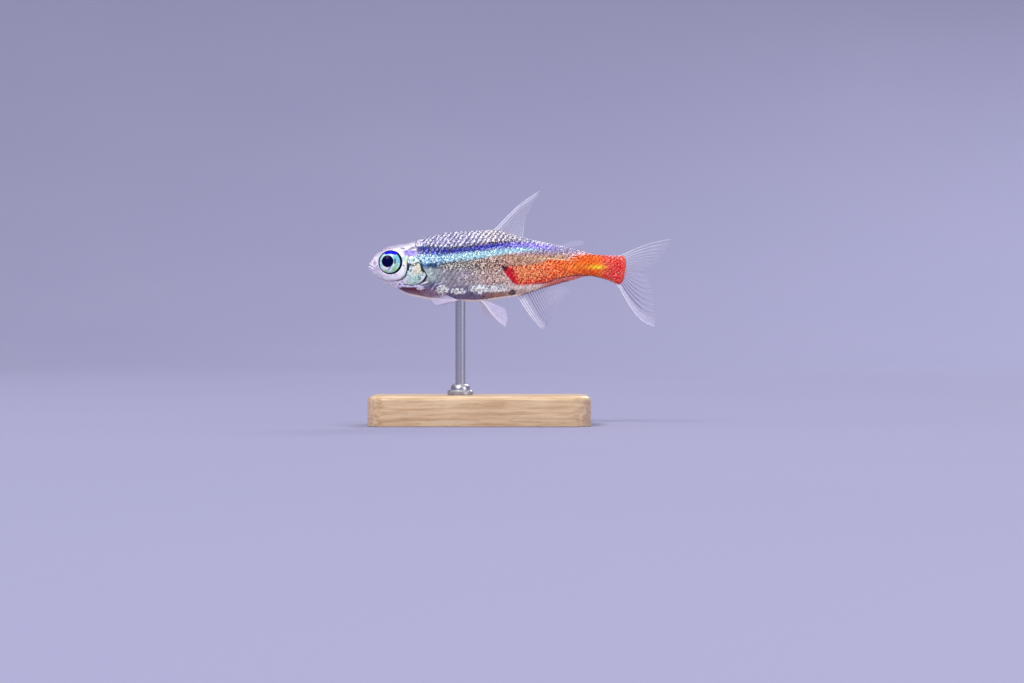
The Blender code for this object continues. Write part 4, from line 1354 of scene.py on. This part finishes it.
def fin_point(shape, u, v):
    """A fin's point: share u along the root, share v of the way out to the edge.

    The edge is the curve that its four points steer, and each ray bows by the sine of its share.
    Under v = 0 the ray runs on straight into the body.
    """
    root = np.array(shape["root"], dtype=float)
    a, b, c, d = np.array(shape["edge"], dtype=float)
    u, v = np.asarray(u)[..., None], np.asarray(v)[..., None]
    start = root[0] + (root[1] - root[0]) * u
    w = 1 - u
    end = a * w ** 3 + b * 3 * w * w * u + c * 3 * w * u * u + d * u ** 3
    bow = shape["bow"][0] * w + shape["bow"][1] * u
    return start + (end - start) * v + np.array((0, 0, 1.0)) * bow * np.sin(pi * np.clip(v, 0, 1))


def root_share(shape, u):
    """The share, below 0, at which the rays start inside the body."""
    return -ROOT_SINK / np.linalg.norm(fin_point(shape, u, 1.0) - fin_point(shape, u, 0.0), axis=-1)


def along_root(shape, key, u):
    """A fin's value along its root, straight between the (share, value) pairs under the key."""
    return np.interp(u, *zip(*shape[key]))


def fin_side(shape):
    """Unit direction square to the fin, towards the fish's right."""
    root, tip = np.array(shape["root"], dtype=float), np.array(shape["edge"][0], dtype=float)
    normal = np.cross(root[1] - root[0], tip - root[0])
    normal = normal / np.linalg.norm(normal)
    return normal if normal[1] > 0 else -normal


def tubes(paths, radii, sides):
    """Closed tubes along many paths at once, their rings square to the path."""
    count, steps = paths.shape[:2]
    along = np.gradient(paths, axis=1)
    along /= np.linalg.norm(along, axis=-1, keepdims=True)
    first = np.cross(along, (0.0, 1.0, 0.0))
    first /= np.linalg.norm(first, axis=-1, keepdims=True)
    second = np.cross(along, first)
    angle = round_angles(sides)[:, None]
    ring = first[:, :, None] * np.cos(angle) + second[:, :, None] * np.sin(angle)
    points = paths[:, :, None] + ring * radii[:, :, None, None]
    points = np.concatenate([points.reshape(count, -1, 3), paths[:, :1], paths[:, -1:]], axis=1)
    one, groups = closed_rings(np.zeros((steps, sides, 3)), np.zeros((2, 3)))
    offset = (np.arange(count) * len(one))[:, None, None]
    return points.reshape(-1, 3), [(group + offset).reshape(-1, group.shape[1]) for group in groups]


def build_rays(name, shape, material):
    """Rays spread from root to edge, each forking beyond half its length, and jointed."""
    n = shape["rays"]
    u = ((np.arange(n) + 0.02) / (n - 0.96))[:, None]
    steps, sides = 30, 6
    t = np.linspace(0, 1, steps)
    lead, dusk = along_root(shape, "lead", u), along_root(shape, "dusk", u)
    weight = (0.55 + 0.75 * lead) * shape["thick"]
    fork, gap = 0.52, 0.3 / n
    stem, twig = root_share(shape, u), np.full((n, 1), fork - 0.03)
    paths, radii, reach = [], [], []
    for start, end, swing, size in ((stem, fork, 0.0, 1.0), (twig, 1.0, -1.0, 0.72),
                                    (twig, 1.0, 1.0, 0.72)):
        v = start + (end - start) * t
        spread = np.clip((v - fork) / (1 - fork), 0, 1) * gap * swing * np.where(u < 0.1, 0.3, 1)
        joints = 1 + 0.08 * np.cos(v * 120.0)
        thin = 1 - 0.6 * np.clip(v, 0, 1)
        paths.append(fin_point(shape, np.clip(u + spread, 0, 1), v * FIN_REACH))
        radii.append(weight * joints * thin * size)
        reach.append(v)
    points, faces = tubes(np.concatenate(paths), np.concatenate(radii), sides)

    def every(values):
        values = np.concatenate([np.broadcast_to(value, (n, steps)) for value in values])
        return np.concatenate([np.repeat(values, sides, axis=1), values[:, :1], values[:, -1:]], axis=1)

    make_piece(f"{name}_rays", place(*points.T), faces, material, (name,),
               {"reach": np.clip(every(reach), 0, 1), "lead": every([lead] * 3),
                "dusk": every([dusk] * 3)})


def build_film(name, shape, material):
    """The film: one thin closed sheet, pleated between the rays and nicked at its edge.

    Without rays it is a fleshy fin instead, thick in the middle and thin at its edge.
    """
    has_rays = shape["rays"] > 0
    gaps = max(shape["rays"], 2) - 1
    u = np.linspace(0, 1, 10 * gaps + 1)
    sink = root_share(shape, u)
    turn = 2 * pi * u * gaps
    end = FIN_REACH - 0.035 * np.abs(np.sin(turn / 2)) * has_rays
    v = sink + (end - sink) * np.linspace(0, 1, 30)[:, None]
    middle = fin_point(shape, u[None, :], v)
    side = fin_side(shape)
    pleat = 0.02 * np.cos(turn) * ease(v, 0.0, 0.2) * has_rays
    if has_rays:
        half = np.full_like(v, FILM_THICKNESS / 2)
    else:
        half = 0.1 * np.sqrt(np.clip(1 - v.clip(0, 1) ** 2, 0, 1)) * np.sin(pi * u) ** 0.5 + 0.01
    front, rear = (middle + side * (pleat + way * half)[..., None] for way in (1, -1))
    points, faces = thin_sheet(front, rear)
    if np.cross(front[1, 0] - front[0, 0], front[0, 1] - front[0, 0]) @ side < 0:
        faces = faces[:, ::-1]
    # A line of painted shade on the film just behind each dusky ray.
    web = (0.5 + 0.5 * np.cos(turn - 0.6)) * along_root(shape, "dusk", u) * ease(v, 1.0, 0.4)
    inner, outer = shape["veil"]
    veil = inner + (outer - inner) * ease(v, 0.5, 0.85)
    if has_rays and shape["lead"][0][1] == 1:
        veil = veil + 0.32 * ease(u, 0.15 - 0.08 * v, 0.08 - 0.06 * v)
    make_piece(f"{name}_film", place(*points.reshape(-1, 3).T), [faces], material,
               () if has_rays else (name,),
               {"veil": np.tile(veil.ravel(), 2), "web": np.tile(web.ravel(), 2)})


# Stand

def build_base(material):
    """A rounded block: four corner arcs joined into a ring, carried up a profile to a flat top."""
    arc = np.linspace(0, pi / 2, 25)
    turn = np.concatenate([arc + k * pi / 2 for k in range(4)])
    corner_x = np.repeat([1, -1, -1, 1], len(arc)) * (BASE_LENGTH / 2 - BASE_CORNER)
    corner_y = np.repeat([1, 1, -1, -1], len(arc)) * (BASE_WIDTH / 2 - BASE_CORNER)
    bend = np.linspace(0, pi / 2, 9)
    inward = np.concatenate([[1.5, 0.15, 0.03, 0, 0], BASE_EDGE * (1 - np.cos(bend)), [1.5]])
    height = np.concatenate([
        [0, 0, 0.03, 0.15, 1.2], BASE_HEIGHT - BASE_EDGE * (1 - np.sin(bend)), [BASE_HEIGHT]])
    reach = BASE_CORNER - inward[:, None]
    rings = np.stack(np.broadcast_arrays(BASE_CENTRE + corner_x + reach * np.cos(turn),
                                         corner_y + reach * np.sin(turn), height[:, None]), axis=-1)
    points, faces = closed_rings(rings, [(BASE_CENTRE, 0, 0), (BASE_CENTRE, 0, BASE_HEIGHT)], False)
    make_piece("display_base", points * MM, faces, material, ("stand_base",), sharp=True)


def build_turned(name, profile, sides, material, replaced):
    """A closed metal piece turned round the rod's middle from its (radius, height) profile."""
    radius, height = zip(*profile)
    ends = [(0, 0, height[0]), (0, 0, height[-1])]
    points, faces = closed_rings(turned(radius, height, sides), ends, False)
    points = (points + (ROD_X, 0, 0)) * MM
    make_piece(name, points, faces, material, (replaced,), sharp=True)


def build_rod(material):
    """The rod with its rounded ends, and the turned collar round its foot."""
    rod = [(0.3, 2.6), (ROD_RADIUS, 2.7), (ROD_RADIUS, 8.0), (ROD_RADIUS, ROD_TOP - 0.2),
           (0.3, ROD_TOP)]
    build_turned("display_rod", rod, 48, material, "stand_rod")
    crown = [(0.62 + 0.36 * np.cos(b), 3.5 + (COLLAR_TOP - 3.5) * np.sin(b))
             for b in np.linspace(0, pi / 2, 9)]
    collar = [(COLLAR_RADIUS - 0.12, 2.98), (COLLAR_RADIUS, 3.05), (COLLAR_RADIUS, 3.37),
              (COLLAR_RADIUS - 0.1, 3.5), *crown, (ROD_RADIUS + 0.02, COLLAR_TOP)]
    build_turned("display_collar", collar, 64, material, "stand_collar")


# Studio

def build_studio():
    """A pale floor that curves up all round into a wall, far outside every view of the model."""
    radius, bend, sides = 0.6, 0.9, 96
    curve = np.linspace(0, pi / 2, 24)[1:]
    reach = np.concatenate([np.linspace(0.01, radius, 30), radius + bend * np.sin(curve),
                            [radius + bend]])
    height = np.concatenate([np.zeros(30), bend * (1 - np.cos(curve)), [1.1]])
    rings = turned(reach, height, sides)
    points = np.concatenate([rings.reshape(-1, 3), [(0, 0, 0)]])
    faces = [grid_faces(len(reach), sides, round_columns=True),
             fan_faces(len(points) - 1, np.arange(sides))]
    floor, _ = add_mesh("studio_floor", points, faces, studio_material())


def add_light(name, spot, size, power, tint=(1.0, 1.0, 1.0)):
    """A square soft light aimed at the middle of the model."""
    lamp = bpy.data.lights.new(name, "AREA")
    lamp.size, lamp.energy, lamp.color = size, power, tint
    item = bpy.data.objects.new(name, lamp)
    item.location = spot
    target = Vector((0, 0, AXIS_HEIGHT * MM))
    item.rotation_euler = (target - item.location).to_track_quat("-Z", "Y").to_euler()
    bpy.context.collection.objects.link(item)


def build_camera():
    lens = bpy.data.cameras.new("camera")
    lens.lens = LENS
    lens.sensor_width = SENSOR
    lens.clip_start, lens.clip_end = 0.01, 10.0
    camera = bpy.data.objects.new("camera", lens)
    camera.location = CAMERA_X * MM, -PICTURE_WIDTH * MM * LENS / SENSOR, CAMERA_Z * MM
    camera.rotation_euler = radians(90), 0, 0
    bpy.context.collection.objects.link(camera)
    bpy.context.scene.camera = camera


def light_studio():
    add_light("key", (-0.4, -0.75, 0.8), 0.4, 9.0, (1.0, 0.98, 0.96))
    add_light("fill", (0.8, -0.6, 0.35), 0.6, 3.0, (0.94, 0.96, 1.0))
    add_light("top", (0.0, 0.1, 1.3), 0.6, 3.0)
    add_light("rim", (0.4, 0.8, 0.6), 0.4, 4.0)
    world = bpy.data.worlds.new("studio_air")
    world.use_nodes = True
    world.node_tree.nodes["Background"].inputs[0].default_value = 1.0, 0.98, 0.98, 1.0
    world.node_tree.nodes["Background"].inputs[1].default_value = 0.8
    bpy.context.scene.world = world
    bpy.context.scene.view_settings.view_transform = "Standard"


def main():
    build_skin(skin_material())
    flank = Flank()
    scales = scale_material()
    plate, eye = gill_cover_material(), eye_material()
    for side, word in ((-1, "left"), (1, "right")):
        build_scales(scales, flank, side, word)
        build_gill_cover(plate, side, word)
        build_eye(eye, side, word)
    rays, film = ray_material(), membrane_material()
    for name, shape in FINS.items():
        if shape["rays"]:
            build_rays(name, shape, rays)
        build_film(name, shape, film)
    build_base(wood_material())
    build_rod(steel_material())
    build_studio()
    light_studio()
    build_camera()


main()
